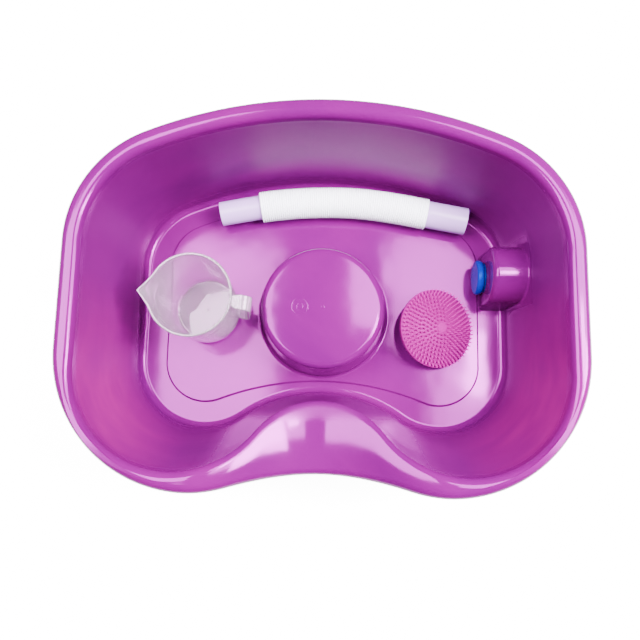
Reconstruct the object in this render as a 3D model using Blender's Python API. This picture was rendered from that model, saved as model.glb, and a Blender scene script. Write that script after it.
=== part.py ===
"""Portable shampoo basin with its outlet, stopper, drain hose, measuring jug and scalp brush.

Metres, +Z up. The origin is the middle of the footprint, on the surface that the basin stands on.
+X runs to the right along the long side, +Y to the back, and the neck rest faces -Y.
"""

from math import asin, atan, atan2, cos, degrees, hypot, pi, radians, sin, sqrt
from typing import NamedTuple

import bmesh
import bpy
from mathutils import Matrix, Vector

# Clearance that every pair of touching pieces keeps
SEAT_GAP = 0.0003
# How far a cutter runs past the face that it cuts
OVERRUN = 0.004

# Basin: the rim's outline, seen from above
RIM_HALF_WIDTH = 0.280
RIM_BACK = 0.2125
RIM_FRONT = -0.2135
RIM_CROWN_RADIUS = 0.506
RIM_CORNER_RADIUS = 0.135
RIM_LOBE_RADIUS = 0.1475
BASIN_HEIGHT = 0.180
WALL = 0.0025

# Rolled rim and neck rest
ROLL_RADIUS = 0.0095
RIM_WIDTH = 0.022
SKIRT_DROP = 0.022
INNER_LOBE_RADIUS = 0.1055
NECK_REST_DEPTH = 0.080
NECK_DIP = 0.050
NECK_DIP_HALF_WIDTH = 0.140
NECK_CROWN = 0.0015

# Walls and floor
WALL_RUN_SIDE = 0.029
WALL_RUN_BACK = 0.022
WALL_RUN_FRONT = 0.0485
WALL_RUN_NECK = 0.021
FLOOR_CROWN_RADIUS = 0.460
FLOOR_CORNER_RADIUS = 0.080
FLOOR_LOBE_RADIUS = 0.078
FLOOR_FILLET = 0.009
CHANNEL_WIDTH_SIDE = 0.0255
CHANNEL_WIDTH_BACK = 0.0195
CHANNEL_WIDTH_FRONT = 0.0235
CHANNEL_PINCH = 0.005
PLATFORM_RISE = 0.0035
PLATFORM_SLOPE_RUN = 0.002

# Round head support in the middle of the floor
BOSS_Y = -0.002
BOSS_HEIGHT = 0.062
BOSS_FOOT_RADIUS = 0.081
BOSS_TOP_RADIUS = 0.0755
BOSS_FOOT_FILLET = 0.005
BOSS_EDGE_RADIUS = 0.009
BOSS_DOME_RADIUS = 1.8
BOSS_FALL = 0.0026

# Pocket in the right wall that hides the outlet
POCKET_REACH = 0.024
POCKET_Y = 0.045
POCKET_HALF_WIDTH = 0.0357
POCKET_DRAFT = 0.002
POCKET_TOP = 0.085
POCKET_EDGE_RADIUS = 0.007

# Outlet: spigot, washer and nut, and the stopper in its bore
OUTLET_Y = 0.046
OUTLET_HEIGHT = 0.030
SPIGOT_RADIUS = 0.0135
SPIGOT_WALL = 0.0023
SPIGOT_LENGTH = 0.029
SPIGOT_FLANGE_RADIUS = 0.0195
SPIGOT_FLANGE_THICK = 0.0020
WASHER_RADIUS = 0.0185
WASHER_THICK = 0.0015
NUT_HALF_FLATS = 0.0185
NUT_THICK = 0.0055
RUNNING_GAP = 0.0004
STOPPER_RADIUS = 0.022
STOPPER_THICK = 0.0088
STOPPER_EDGE_RADIUS = 0.0035
STOPPER_SHANK_LENGTH = 0.013
STOPPER_SHANK_TAPER = 0.0006
STOPPER_WALL = 0.0025

# Drain hose: one ribbed tube with plain ends, loose on the floor behind the head support
HOSE_RIB_RADIUS = 0.0202
HOSE_GROOVE_RADIUS = 0.0187
HOSE_LEFT_END_RADIUS = 0.0157
HOSE_RIGHT_END_RADIUS = 0.0176
HOSE_BORE_RADIUS = 0.0140
HOSE_LEFT_END_LENGTH = 0.0530
HOSE_RIGHT_END_LENGTH = 0.0515
HOSE_STEP = 0.0006
HOSE_RIBS = 78
HOSE_BORE_STEPS = 20
HOSE_ROUTE = [
    (-0.1360, 0.1259),
    (-0.1160, 0.1299),
    (-0.0960, 0.1337),
    (-0.0760, 0.1371),
    (-0.0560, 0.1398),
    (-0.0360, 0.1418),
    (-0.0160, 0.1431),
    (0.0040, 0.1438),
    (0.0240, 0.1438),
    (0.0440, 0.1429),
    (0.0640, 0.1411),
    (0.0840, 0.1385),
    (0.1040, 0.1353),
    (0.1240, 0.1317),
    (0.1440, 0.1282),
    (0.1640, 0.1247),
    (0.1840, 0.1212),
]

# Measuring jug, its handle towards the head support
JUG_BOSS_GAP = 0.002
JUG_Y = 0.000
JUG_TURN = radians(-7.5)
JUG_SPOUT_TURN = radians(4)
JUG_HEIGHT = 0.120
JUG_RIM_RADIUS = 0.0475
JUG_BASE_RADIUS = 0.0430
JUG_WALL = 0.0018
JUG_BASE_FILLET = 0.006
JUG_FOOT_HEIGHT = 0.0025
JUG_FOOT_RADIUS = 0.0355
JUG_FOOT_WIDTH = 0.0030
JUG_RIM_BEAD = 0.0012
JUG_RIM_BEAD_HEIGHT = 0.003
JUG_SPOUT_REACH = 0.012
JUG_SPOUT_DROP = 0.026
JUG_SPOUT_HALF_ANGLE = radians(24)
JUG_SPOUT_POINT_SHARE = 1.4
JUG_SPOUT_FLARE_SHARE = 1.5
JUG_HANDLE_TOP_REACH = 0.068
JUG_HANDLE_LOW_REACH = 0.060
JUG_HANDLE_TOP_DROP = 0.005
JUG_HANDLE_LOW = 0.034
JUG_HANDLE_THICK = 0.0036
JUG_HANDLE_WIDTH = 0.017
JUG_HANDLE_ROOT_WIDTH = 0.012
JUG_HANDLE_CORNER = 0.008

# Scalp brush, lying on its knob and on the edge of its back
BRUSH_BOSS_GAP = 0.008
BRUSH_Y = -0.0208
BRUSH_PAD_RADIUS = 0.0502
BRUSH_PAD_EDGE = 0.0025
BRUSH_PAD_SKIN = 0.0022
BRUSH_PAD_LIP = 0.004
BRUSH_DOME_HEIGHT = 0.013
BRUSH_BACK_RADIUS = 0.0492
BRUSH_BACK_THICK = 0.003
BRUSH_NECK_RADIUS = 0.009
BRUSH_KNOB_RADIUS = 0.016
BRUSH_KNOB_FOOT_RADIUS = 0.012
BRUSH_KNOB_DROP = 0.0165
BRUSH_KNOB_WAIST = 0.0075
BRISTLE_LENGTH = 0.0063
BRISTLE_SINK = 0.0010
BRISTLE_BASE_RADIUS = 0.0014
BRISTLE_PITCH = 0.00495
BRISTLE_EDGE_MARGIN = 0.0042
BRISTLE_RINGS = 8
BRISTLE_SIDES = 3
BRISTLE_SPLAY_SHARE = 1.15
NUB_RADIUS = 0.0075
NUB_HEIGHT = 0.0012
NUB_TIP_SHARE = 0.85
NUB_CLEARANCE = 0.0065

# Facets: counts, and the angles in degrees at which rings lie round each rolled or filleted edge
ROUND_STEPS = 32
BRUSH_STEPS = 40
JUG_STEPS = 48
ARCH_STEPS = 14
BOW_STEPS = {"crown": 9, "corner": 7, "side": 4, "lobe": 10, "neck": 7}
ROLL_TURNS = (0, 30, 60, 90)
ROLL_INSIDE_TURNS = (0, 50, 90)
NECK_REST_SHARES = (0.25, 0.5, 0.75)
FLOOR_FILLET_TURNS = (80, 50, 25, 0)
BOSS_FILLET_TURNS = (0, 45, 85)
BOSS_EDGE_TURNS = (5, 30, 55)
BOSS_DOME_SHARES = (0.5,)
POCKET_EDGE_TURNS = (90, 60, 30, 0)


class Outline(NamedTuple):
    """A kidney outline: back crown, two corners, straight sides, two front lobes and the neck between."""

    half_width: float
    back: float
    front: float
    neck: float
    crown_radius: float
    corner_radius: float
    lobe_radius: float

    def inset(self, by):
        """The parallel outline inside this one."""
        return Outline(
            self.half_width - by,
            self.back - by,
            self.front + by,
            self.neck + by,
            self.crown_radius - by,
            self.corner_radius - by,
            self.lobe_radius - by,
        )

    def towards(self, other, share):
        return Outline(*(a + (b - a) * share for a, b in zip(self, other)))


# The head support reaches so near the neck that the channel is pinched there
BOSS_FRONT = BOSS_Y - BOSS_FOOT_RADIUS - BOSS_FOOT_FILLET
PLATFORM_TOP_NECK = BOSS_FRONT - SEAT_GAP
PLATFORM_FOOT_NECK = PLATFORM_TOP_NECK - PLATFORM_SLOPE_RUN
FLOOR_NECK = PLATFORM_FOOT_NECK - CHANNEL_PINCH
MOUTH_NECK = FLOOR_NECK - WALL_RUN_NECK

# The mouth is where the roll meets the wall; the floor is where the wall's fillet ends
RIM = Outline(
    RIM_HALF_WIDTH,
    RIM_BACK,
    RIM_FRONT,
    MOUTH_NECK - NECK_REST_DEPTH,
    RIM_CROWN_RADIUS,
    RIM_CORNER_RADIUS,
    RIM_LOBE_RADIUS,
)
MOUTH = Outline(
    RIM_HALF_WIDTH - RIM_WIDTH,
    RIM_BACK - RIM_WIDTH,
    RIM_FRONT + RIM_WIDTH,
    MOUTH_NECK,
    RIM_CROWN_RADIUS - RIM_WIDTH,
    RIM_CORNER_RADIUS - RIM_WIDTH,
    INNER_LOBE_RADIUS,
)
FLOOR = Outline(
    MOUTH.half_width - WALL_RUN_SIDE,
    MOUTH.back - WALL_RUN_BACK,
    MOUTH.front + WALL_RUN_FRONT,
    FLOOR_NECK,
    FLOOR_CROWN_RADIUS,
    FLOOR_CORNER_RADIUS,
    FLOOR_LOBE_RADIUS,
)
PLATFORM_FOOT = Outline(
    FLOOR.half_width - CHANNEL_WIDTH_SIDE,
    FLOOR.back - CHANNEL_WIDTH_BACK,
    FLOOR.front + CHANNEL_WIDTH_FRONT,
    PLATFORM_FOOT_NECK,
    FLOOR.crown_radius - CHANNEL_WIDTH_BACK,
    FLOOR.corner_radius - CHANNEL_WIDTH_SIDE,
    FLOOR.lobe_radius - CHANNEL_WIDTH_SIDE,
)
PLATFORM_TOP = PLATFORM_FOOT.inset(PLATFORM_SLOPE_RUN)._replace(neck=PLATFORM_TOP_NECK)

PLATFORM_Z = WALL + PLATFORM_RISE
BOSS_EDGE_Z = PLATFORM_Z + BOSS_HEIGHT - BOSS_EDGE_RADIUS
BOSS_LEAN = asin((BOSS_TOP_RADIUS - BOSS_EDGE_RADIUS) / (BOSS_DOME_RADIUS - BOSS_EDGE_RADIUS))
BOSS_DOME_Z = BOSS_EDGE_Z - (BOSS_DOME_RADIUS - BOSS_EDGE_RADIUS) * cos(BOSS_LEAN)
POCKET_FACE_X = FLOOR.half_width - POCKET_REACH
WASHER_X = POCKET_FACE_X + WALL + SEAT_GAP
NUT_X = WASHER_X + WASHER_THICK + SEAT_GAP
FLANGE_X = POCKET_FACE_X - SEAT_GAP - SPIGOT_FLANGE_THICK
SPIGOT_BORE_RADIUS = SPIGOT_RADIUS - SPIGOT_WALL
JUG_X = -BOSS_FOOT_RADIUS - JUG_BOSS_GAP - JUG_HANDLE_TOP_REACH
JUG_HANDLE_TOP = JUG_HEIGHT - JUG_HANDLE_TOP_DROP
BRUSH_X = BOSS_FOOT_RADIUS + BOSS_FOOT_FILLET + BRUSH_BOSS_GAP + BRUSH_PAD_RADIUS
BRUSH_TILT = atan((BRUSH_KNOB_DROP - BRUSH_BACK_THICK) / (BRUSH_BACK_RADIUS - BRUSH_KNOB_FOOT_RADIUS))


# Outlines and lofts


def arc(centre, radius, start, end, steps):
    """Points on an arc, without its last one."""
    turns = [start + (end - start) * i / steps for i in range(steps)]
    return [(centre[0] + radius * cos(t), centre[1] + radius * sin(t)) for t in turns]


def outline_points(shape):
    """The outline's points, anticlockwise from the middle of the back, as tangent arcs."""
    crown = (0, shape.back - shape.crown_radius)
    corner_x = shape.half_width - shape.corner_radius
    corner = (corner_x, crown[1] + sqrt((shape.crown_radius - shape.corner_radius) ** 2 - corner_x**2))
    lobe = (shape.half_width - shape.lobe_radius, shape.front + shape.lobe_radius)
    rise = lobe[1] - shape.neck
    neck_radius = (lobe[0] ** 2 + rise**2 - shape.lobe_radius**2) / (2 * (shape.lobe_radius - rise))
    neck = (0, shape.neck - neck_radius)
    crown_end = atan2(corner[1] - crown[1], corner[0] - crown[0])
    lobe_end = atan2(neck[1] - lobe[1], neck[0] - lobe[0])
    steps = BOW_STEPS["side"]
    side = [(shape.half_width, corner[1] + (lobe[1] - corner[1]) * i / steps) for i in range(steps)]
    right = arc(crown, shape.crown_radius, pi / 2, crown_end, BOW_STEPS["crown"])
    right += arc(corner, shape.corner_radius, crown_end, 0, BOW_STEPS["corner"])
    right += side
    right += arc(lobe, shape.lobe_radius, 0, lobe_end, BOW_STEPS["lobe"])
    right += arc(neck, neck_radius, lobe_end + pi, pi / 2, BOW_STEPS["neck"])
    right.append((0, shape.neck))
    left = [(-x, y) for x, y in reversed(right[1:-1])]
    return list(reversed(right + left))


def neck_dip(x, y):
    """How far the neck rest lies below the rest of the rim."""
    if y > 0 or abs(x) > NECK_DIP_HALF_WIDTH:
        return 0
    return NECK_DIP * cos(pi * x / (2 * NECK_DIP_HALF_WIDTH)) ** 2


def rim_ring(shape, z):
    """A ring of the rim, which follows the dip of the neck rest."""
    return [Vector((x, y, z - neck_dip(x, y))) for x, y in outline_points(shape)]


def neck_rest_ring(share):
    """A ring over the top of the rim, which is slightly crowned where the neck lies."""
    ring = rim_ring(RIM.inset(ROLL_RADIUS).towards(MOUTH.inset(-ROLL_RADIUS), share), BASIN_HEIGHT)
    for point in ring:
        point.z += NECK_CROWN * 4 * share * (1 - share) * neck_dip(point.x, point.y) / NECK_DIP
    return ring


def wall_ring(low, low_z, high, high_z, share):
    """A ring of the wall, a share of the way from its foot to the rim."""
    ring = []
    for x, y in outline_points(low.towards(high, share)):
        ring.append(Vector((x, y, low_z + (high_z - neck_dip(x, y) - low_z) * share)))
    return ring


def flat_ring(shape, z):
    return [Vector((x, y, z)) for x, y in outline_points(shape)]


def boss_ring(radius, z, fall=0):
    """A ring round the head support, in line with the platform's edge, that falls towards +X."""
    ring = []
    for x, y in outline_points(PLATFORM_TOP):
        turn = atan2(y - BOSS_Y, x)
        east = radius * cos(turn)
        ring.append(Vector((east, BOSS_Y + radius * sin(turn), z - fall * east / BOSS_TOP_RADIUS)))
    return ring


def loft(mesh, rings, start=None, end=None):
    """Joins each ring to the next, and closes either end with a fan to its point or one flat face."""
    loops = [[mesh.verts.new(point) for point in ring] for ring in rings]
    count = len(loops[0])
    for near, far in zip(loops, loops[1:]):
        for i in range(count):
            j = (i + 1) % count
            mesh.faces.new((near[i], near[j], far[j], far[i]))
    for loop, point in ((loops[0], start), (loops[-1], end)):
        if point is None:
            mesh.faces.new(loop)
            continue
        tip = mesh.verts.new(point)
        for i in range(count):
            mesh.faces.new((loop[i], loop[(i + 1) % count], tip))
    bmesh.ops.recalc_face_normals(mesh, faces=mesh.faces)


# Objects and materials


def clear_scene():
    for thing in list(bpy.data.objects):
        bpy.data.objects.remove(thing, do_unlink=True)


def plastic(name, colour, roughness, alpha=1.0):
    """A moulded plastic or rubber finish."""
    finish = bpy.data.materials.new(name)
    finish.use_nodes = True
    shader = finish.node_tree.nodes["Principled BSDF"]
    shader.inputs["Base Color"].default_value = (*colour, 1)
    shader.inputs["Roughness"].default_value = roughness
    shader.inputs["Metallic"].default_value = 0
    shader.inputs["Alpha"].default_value = alpha
    return finish


def put(name, mesh, finish=None, smooth_below=40):
    """Makes an object from a bmesh, shaded smooth below an angle between faces."""
    data = bpy.data.meshes.new(name)
    mesh.to_mesh(data)
    mesh.free()
    data.shade_smooth()
    data.set_sharp_from_angle(angle=radians(smooth_below))
    thing = bpy.data.objects.new(name, data)
    bpy.context.collection.objects.link(thing)
    if finish:
        data.materials.append(finish)
    return thing


def as_helper(thing):
    thing.hide_render = True
    thing.display_type = "WIRE"
    return thing


def combine(body, other, operation):
    change = body.modifiers.new(operation.lower() + "_" + other.name, "BOOLEAN")
    change.operation = operation
    change.object = as_helper(other)
    change.solver = "EXACT"
    return body


def turned(profile, steps=ROUND_STEPS):
    """A solid turned about Z from a closed or axis-to-axis profile of (radius, height)."""
    mesh = bmesh.new()
    points = [mesh.verts.new((radius, 0, height)) for radius, height in profile]
    edges = [mesh.edges.new(pair) for pair in zip(points, points[1:])]
    if profile[0][0] > 0:
        edges.append(mesh.edges.new((points[-1], points[0])))
    bmesh.ops.spin(
        mesh, geom=points + edges, cent=(0, 0, 0), axis=(0, 0, 1), angle=2 * pi, steps=steps, use_merge=True
    )
    bmesh.ops.remove_doubles(mesh, verts=mesh.verts, dist=SEAT_GAP / 30)
    bmesh.ops.recalc_face_normals(mesh, faces=mesh.faces)
    return mesh


def rounded(centre, radius, start, end, steps):
    """Profile points round an edge, both ends included, with angles in degrees."""
    turns = [radians(start + (end - start) * i / steps) for i in range(steps + 1)]
    return [(centre[0] + radius * cos(t), centre[1] + radius * sin(t)) for t in turns]


# Basin shell


def inside_rings():
    """The skin that shows: from the skirt's edge over the roll, down the wall and up over the head support."""
    roll_z = BASIN_HEIGHT - ROLL_RADIUS
    rings = [rim_ring(RIM, BASIN_HEIGHT - SKIRT_DROP)]
    for turn in ROLL_TURNS:
        step = ROLL_RADIUS * (1 - cos(radians(turn)))
        rings.append(rim_ring(RIM.inset(step), roll_z + ROLL_RADIUS * sin(radians(turn))))
    rings += [neck_rest_ring(share) for share in NECK_REST_SHARES]
    for turn in reversed(ROLL_TURNS):
        step = ROLL_RADIUS * (1 - cos(radians(turn)))
        rings.append(rim_ring(MOUTH.inset(-step), roll_z + ROLL_RADIUS * sin(radians(turn))))
    rings += wall_rings(0)
    rings.append(flat_ring(PLATFORM_FOOT, WALL))
    rings.append(flat_ring(PLATFORM_TOP, PLATFORM_Z))
    rings += boss_rings(0)
    return rings


def wall_rings(depth):
    """The wall and its fillet, from below the roll to the floor, at a depth into the material."""
    radius = FLOOR_FILLET + depth
    centre_z = WALL + FLOOR_FILLET
    steepest = radians(FLOOR_FILLET_TURNS[0])
    foot = FLOOR.inset(-radius * sin(steepest))
    foot_z = centre_z - radius * cos(steepest)
    rings = [wall_ring(foot, foot_z, MOUTH.inset(-depth), BASIN_HEIGHT - ROLL_RADIUS, 1 / 2)]
    for turn in FLOOR_FILLET_TURNS:
        step = radius * sin(radians(turn))
        rings.append(flat_ring(FLOOR.inset(-step), centre_z - radius * cos(radians(turn))))
    return rings


def boss_rings(depth):
    """The head support from its foot fillet over the edge of its slightly domed top, at a depth into it."""
    fillet = BOSS_FOOT_FILLET + depth
    edge = BOSS_EDGE_RADIUS - depth
    foot_centre = BOSS_FOOT_RADIUS + BOSS_FOOT_FILLET
    fillet_z = PLATFORM_Z + BOSS_FOOT_FILLET
    dome = BOSS_DOME_RADIUS - depth
    edge_centre = BOSS_TOP_RADIUS - BOSS_EDGE_RADIUS
    rings = []
    for turn in BOSS_FILLET_TURNS:
        radius = foot_centre - fillet * sin(radians(turn))
        rings.append(boss_ring(radius, fillet_z - fillet * cos(radians(turn))))
    for turn in (*BOSS_EDGE_TURNS, 90 - degrees(BOSS_LEAN)):
        radius = edge_centre + edge * cos(radians(turn))
        rings.append(boss_ring(radius, BOSS_EDGE_Z + edge * sin(radians(turn)), BOSS_FALL))
    for share in BOSS_DOME_SHARES:
        turn = BOSS_LEAN * share
        rings.append(boss_ring(dome * sin(turn), BOSS_DOME_Z + dome * cos(turn), BOSS_FALL))
    return rings


def underside_rings():
    """The hidden skin: from inside the head support out along the floor, up the wall and round inside the roll."""
    roll_z = BASIN_HEIGHT - ROLL_RADIUS
    hollow = ROLL_RADIUS - WALL
    rings = list(reversed(boss_rings(WALL)))
    rings.append(flat_ring(PLATFORM_TOP, PLATFORM_Z - WALL))
    rings.append(flat_ring(PLATFORM_FOOT, 0))
    rings += list(reversed(wall_rings(WALL)))
    for turn in ROLL_INSIDE_TURNS:
        step = ROLL_RADIUS - hollow * cos(radians(turn))
        rings.append(rim_ring(MOUTH.inset(-step), roll_z + hollow * sin(radians(turn))))
    for turn in reversed(ROLL_INSIDE_TURNS):
        step = ROLL_RADIUS - hollow * cos(radians(turn))
        rings.append(rim_ring(RIM.inset(step), roll_z + hollow * sin(radians(turn))))
    rings.append(rim_ring(RIM.inset(WALL), BASIN_HEIGHT - SKIRT_DROP))
    return rings


def arch_ring(x, inset, bottom):
    """The pocket's cross-section in a plane of constant X: drafted sides under a round top."""
    radius = POCKET_HALF_WIDTH - inset
    spring = POCKET_TOP - POCKET_HALF_WIDTH
    foot = radius + POCKET_DRAFT
    ring = [(POCKET_Y - foot, bottom), (POCKET_Y + foot, bottom)]
    ring += arc((POCKET_Y, spring), radius, 0, pi, ARCH_STEPS) + [(POCKET_Y - radius, spring)]
    return [Vector((x, y, z)) for y, z in ring]


def pocket_solid(name, depth, bottom):
    """The pocket's bulge into the basin, at a depth into the material, run out past the wall."""
    face = POCKET_FACE_X + depth
    edge = POCKET_EDGE_RADIUS - depth
    rings = []
    for turn in POCKET_EDGE_TURNS:
        inset = depth + edge * (1 - cos(radians(turn)))
        rings.append(arch_ring(face + edge * (1 - sin(radians(turn))), inset, bottom))
    rings.append(arch_ring(RIM_HALF_WIDTH + OVERRUN, depth, bottom))
    mesh = bmesh.new()
    loft(mesh, rings)
    return put(name, mesh)


def hollow_solid(name, depth, top):
    """The basin's hollow, grown by a depth into the material, to limit the pocket's bulge."""
    rings = wall_rings(depth)[1:]
    foot = FLOOR.inset(-(FLOOR_FILLET + depth) * sin(radians(FLOOR_FILLET_TURNS[0])))
    foot_z = rings[0][0].z
    share = (top - foot_z) / (BASIN_HEIGHT - ROLL_RADIUS - foot_z)
    rings.insert(0, flat_ring(foot.towards(MOUTH.inset(-depth), share), top))
    mesh = bmesh.new()
    loft(mesh, rings)
    return put(name, mesh)


def basin_shell(finish):
    mesh = bmesh.new()
    top = Vector((0, BOSS_Y, BOSS_DOME_Z + BOSS_DOME_RADIUS))
    rings = list(reversed(inside_rings())) + list(reversed(underside_rings()))
    loft(mesh, rings, start=top, end=top - Vector((0, 0, WALL)))
    shell = put("basin_shell", mesh, finish)
    bulge = pocket_solid("pocket_bulge", 0, -OVERRUN)
    combine(bulge, hollow_solid("basin_hollow", WALL / 2, POCKET_TOP + OVERRUN), "INTERSECT")
    combine(shell, bulge, "UNION")
    combine(shell, pocket_solid("pocket_cut", WALL, -OVERRUN), "DIFFERENCE")
    hole = along_x(put("outlet_hole", turned(disc_profile(SPIGOT_RADIUS + RUNNING_GAP, 2 * POCKET_REACH))))
    hole.location.x = POCKET_FACE_X - OVERRUN
    combine(shell, hole, "DIFFERENCE")
    return shell


# Outlet and stopper, turned about Z and then laid along X


def disc_profile(radius, height):
    return [(0, 0), (radius, 0), (radius, height), (0, height)]


def ring_profile(inner, outer, height):
    return [(inner, 0), (outer, 0), (outer, height), (inner, height)]


def along_x(thing):
    """Lays a turned piece on the outlet's axis, its own +Z along the basin's +X."""
    thing.rotation_euler = (0, pi / 2, 0)
    thing.location = (0, OUTLET_Y, OUTLET_HEIGHT)
    return thing


def outlet_spigot(finish):
    """Flanged tube through the pocket's face, with a lip that holds the hose."""
    lip = SPIGOT_WALL / 4
    end = SPIGOT_FLANGE_THICK + SPIGOT_LENGTH
    profile = [
        (SPIGOT_BORE_RADIUS, 0),
        (SPIGOT_FLANGE_RADIUS - lip, 0),
        (SPIGOT_FLANGE_RADIUS, lip),
        (SPIGOT_FLANGE_RADIUS, SPIGOT_FLANGE_THICK),
        (SPIGOT_RADIUS, SPIGOT_FLANGE_THICK),
        (SPIGOT_RADIUS, end - SPIGOT_WALL),
        (SPIGOT_RADIUS - lip, end),
        (SPIGOT_BORE_RADIUS, end),
    ]
    spigot = along_x(put("outlet_spigot", turned(profile), finish))
    spigot.location.x = FLANGE_X
    return spigot


def outlet_washer(finish):
    profile = ring_profile(SPIGOT_RADIUS + RUNNING_GAP, WASHER_RADIUS, WASHER_THICK)
    washer = along_x(put("outlet_washer", turned(profile), finish))
    washer.location.x = WASHER_X
    return washer


def outlet_nut(finish):
    """Six-sided nut with a turned hole."""
    mesh = bmesh.new()
    corner = NUT_HALF_FLATS / cos(pi / 6)
    bmesh.ops.create_cone(
        mesh, cap_ends=True, segments=6, radius1=corner, radius2=corner, depth=NUT_THICK,
        matrix=Matrix.Translation((0, 0, NUT_THICK / 2)),
    )
    nut = along_x(put("outlet_nut", mesh, finish, smooth_below=20))
    nut.location.x = NUT_X
    hole = along_x(put("nut_hole", turned(disc_profile(SPIGOT_RADIUS + RUNNING_GAP, 3 * NUT_THICK))))
    hole.location.x = NUT_X - NUT_THICK
    return combine(nut, hole, "DIFFERENCE")


def drain_stopper(finish):
    """Soft plug: a thick round cap to pull, and a tapered hollow shank in the spigot's bore."""
    shank = SPIGOT_BORE_RADIUS - SEAT_GAP
    cap = STOPPER_THICK
    end = cap + STOPPER_SHANK_LENGTH
    edge = STOPPER_EDGE_RADIUS
    corner = STOPPER_RADIUS - edge
    profile = [(0, 0)]
    profile += rounded((corner, edge), edge, -90, 0, 4)
    profile += rounded((corner, cap - edge), edge, 0, 90, 3)
    profile += [(shank, cap), (shank - STOPPER_SHANK_TAPER, end)]
    profile += [(shank - STOPPER_WALL - STOPPER_SHANK_TAPER, end), (shank - STOPPER_WALL, cap), (0, cap)]
    stopper = along_x(put("drain_stopper", turned(profile), finish))
    stopper.location.x = FLANGE_X - SEAT_GAP - cap
    return stopper


# Drain hose


def route_lengths(route):
    """Distance along the route at each of its points."""
    lengths = [0]
    for near, far in zip(route, route[1:]):
        lengths.append(lengths[-1] + hypot(far[0] - near[0], far[1] - near[1]))
    return lengths


def route_point(route, lengths, along):
    """A place on the smooth curve through the route's points, by its distance along them."""
    last = len(route) - 1
    i = max(k for k in range(last) if k == 0 or lengths[k] <= along)
    share = (along - lengths[i]) / (lengths[i + 1] - lengths[i])
    before, near = Vector(route[max(i - 1, 0)]), Vector(route[i])
    far, after = Vector(route[i + 1]), Vector(route[min(i + 2, last)])
    leave, reach = (far - before) / 2, (after - near) / 2
    if i == 0:
        leave = far - near
    if i == last - 1:
        reach = far - near
    square, cube = share**2, share**3
    place = near * (2 * cube - 3 * square + 1) + leave * (cube - 2 * square + share)
    return place + far * (3 * square - 2 * cube) + reach * (cube - square)


def tube(name, stations, height):
    """A tube along the hose's route, from (distance, radius) stations, as a mesh with closed ends."""
    lengths = route_lengths(HOSE_ROUTE)
    path = bpy.data.curves.new(name + "_path", "CURVE")
    path.dimensions = "3D"
    path.bevel_depth = 1
    path.bevel_resolution = 2
    path.use_fill_caps = True
    spline = path.splines.new("POLY")
    spline.points.add(len(stations) - 1)
    for point, (along, radius) in zip(spline.points, stations):
        place = route_point(HOSE_ROUTE, lengths, along)
        point.co = (place.x, place.y, height, 1)
        point.radius = radius
    guide = bpy.data.objects.new(name + "_guide", path)
    bpy.context.collection.objects.link(guide)
    bpy.context.view_layer.update()
    data = bpy.data.meshes.new_from_object(guide.evaluated_get(bpy.context.evaluated_depsgraph_get()))
    bpy.data.objects.remove(guide)
    mesh = bmesh.new()
    mesh.from_mesh(data)
    bpy.data.meshes.remove(data)
    bmesh.ops.remove_doubles(mesh, verts=mesh.verts, dist=SEAT_GAP / 30)
    bmesh.ops.recalc_face_normals(mesh, faces=mesh.faces)
    return mesh


def drain_hose(finish):
    """Ribbed tube with plain ends and its bore."""
    total = route_lengths(HOSE_ROUTE)[-1]
    first = HOSE_LEFT_END_LENGTH
    last = total - HOSE_RIGHT_END_LENGTH
    pitch = (last - first) / HOSE_RIBS
    middle = [along for along in route_lengths(HOSE_ROUTE) if along < first - HOSE_STEP]
    stations = [(along, HOSE_LEFT_END_RADIUS) for along in middle + [first - HOSE_STEP]]
    for rib in range(HOSE_RIBS):
        stations.append((first + pitch * rib, HOSE_GROOVE_RADIUS))
        stations.append((first + pitch * (rib + 0.5), HOSE_RIB_RADIUS))
    stations.append((last, HOSE_GROOVE_RADIUS))
    ends = [along for along in route_lengths(HOSE_ROUTE) if along > last + HOSE_STEP]
    stations += [(along, HOSE_RIGHT_END_RADIUS) for along in [last + HOSE_STEP] + ends]
    height = PLATFORM_Z + SEAT_GAP + HOSE_RIB_RADIUS
    hose = put("drain_hose", tube("drain_hose", stations, height), finish, smooth_below=30)
    plain = [total * i / HOSE_BORE_STEPS for i in range(1, HOSE_BORE_STEPS)]
    bore = [(along, HOSE_BORE_RADIUS) for along in [-OVERRUN] + plain + [total + OVERRUN]]
    return combine(hose, put("hose_bore", tube("hose_bore", bore, height)), "DIFFERENCE")


# Measuring jug


def jug_radius(z):
    """Outer radius of the jug's tapered body at a height above its base."""
    return JUG_BASE_RADIUS + (JUG_RIM_RADIUS - JUG_BASE_RADIUS) * z / JUG_HEIGHT


def jug_profile():
    """Outside from the middle of the base to the rim, then back down the inside."""
    base = JUG_FOOT_HEIGHT
    fillet = JUG_BASE_FILLET
    inner = fillet - JUG_WALL
    corner = jug_radius(base) - fillet
    bead = JUG_HEIGHT - JUG_RIM_BEAD_HEIGHT
    foot_inner = JUG_FOOT_RADIUS - JUG_FOOT_WIDTH
    profile = [(0, base), (foot_inner, base), (foot_inner, 0), (JUG_FOOT_RADIUS, 0), (JUG_FOOT_RADIUS, base)]
    profile += rounded((corner, base + fillet), fillet, -90, 0, 3)
    levels = (JUG_HEIGHT / 3, JUG_HEIGHT - JUG_SPOUT_DROP, JUG_HEIGHT - JUG_SPOUT_DROP / 2)
    profile += [(jug_radius(z), z) for z in levels]
    profile += [(jug_radius(bead), bead), (jug_radius(bead) + JUG_RIM_BEAD, bead)]
    profile += [(JUG_RIM_RADIUS + JUG_RIM_BEAD, JUG_HEIGHT), (JUG_RIM_RADIUS - JUG_WALL, JUG_HEIGHT)]
    profile += [(jug_radius(z) - JUG_WALL, z) for z in reversed(levels)]
    profile += rounded((corner, base + fillet), inner, 0, -90, 3)
    profile.append((0, base + JUG_WALL))
    return profile


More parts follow.
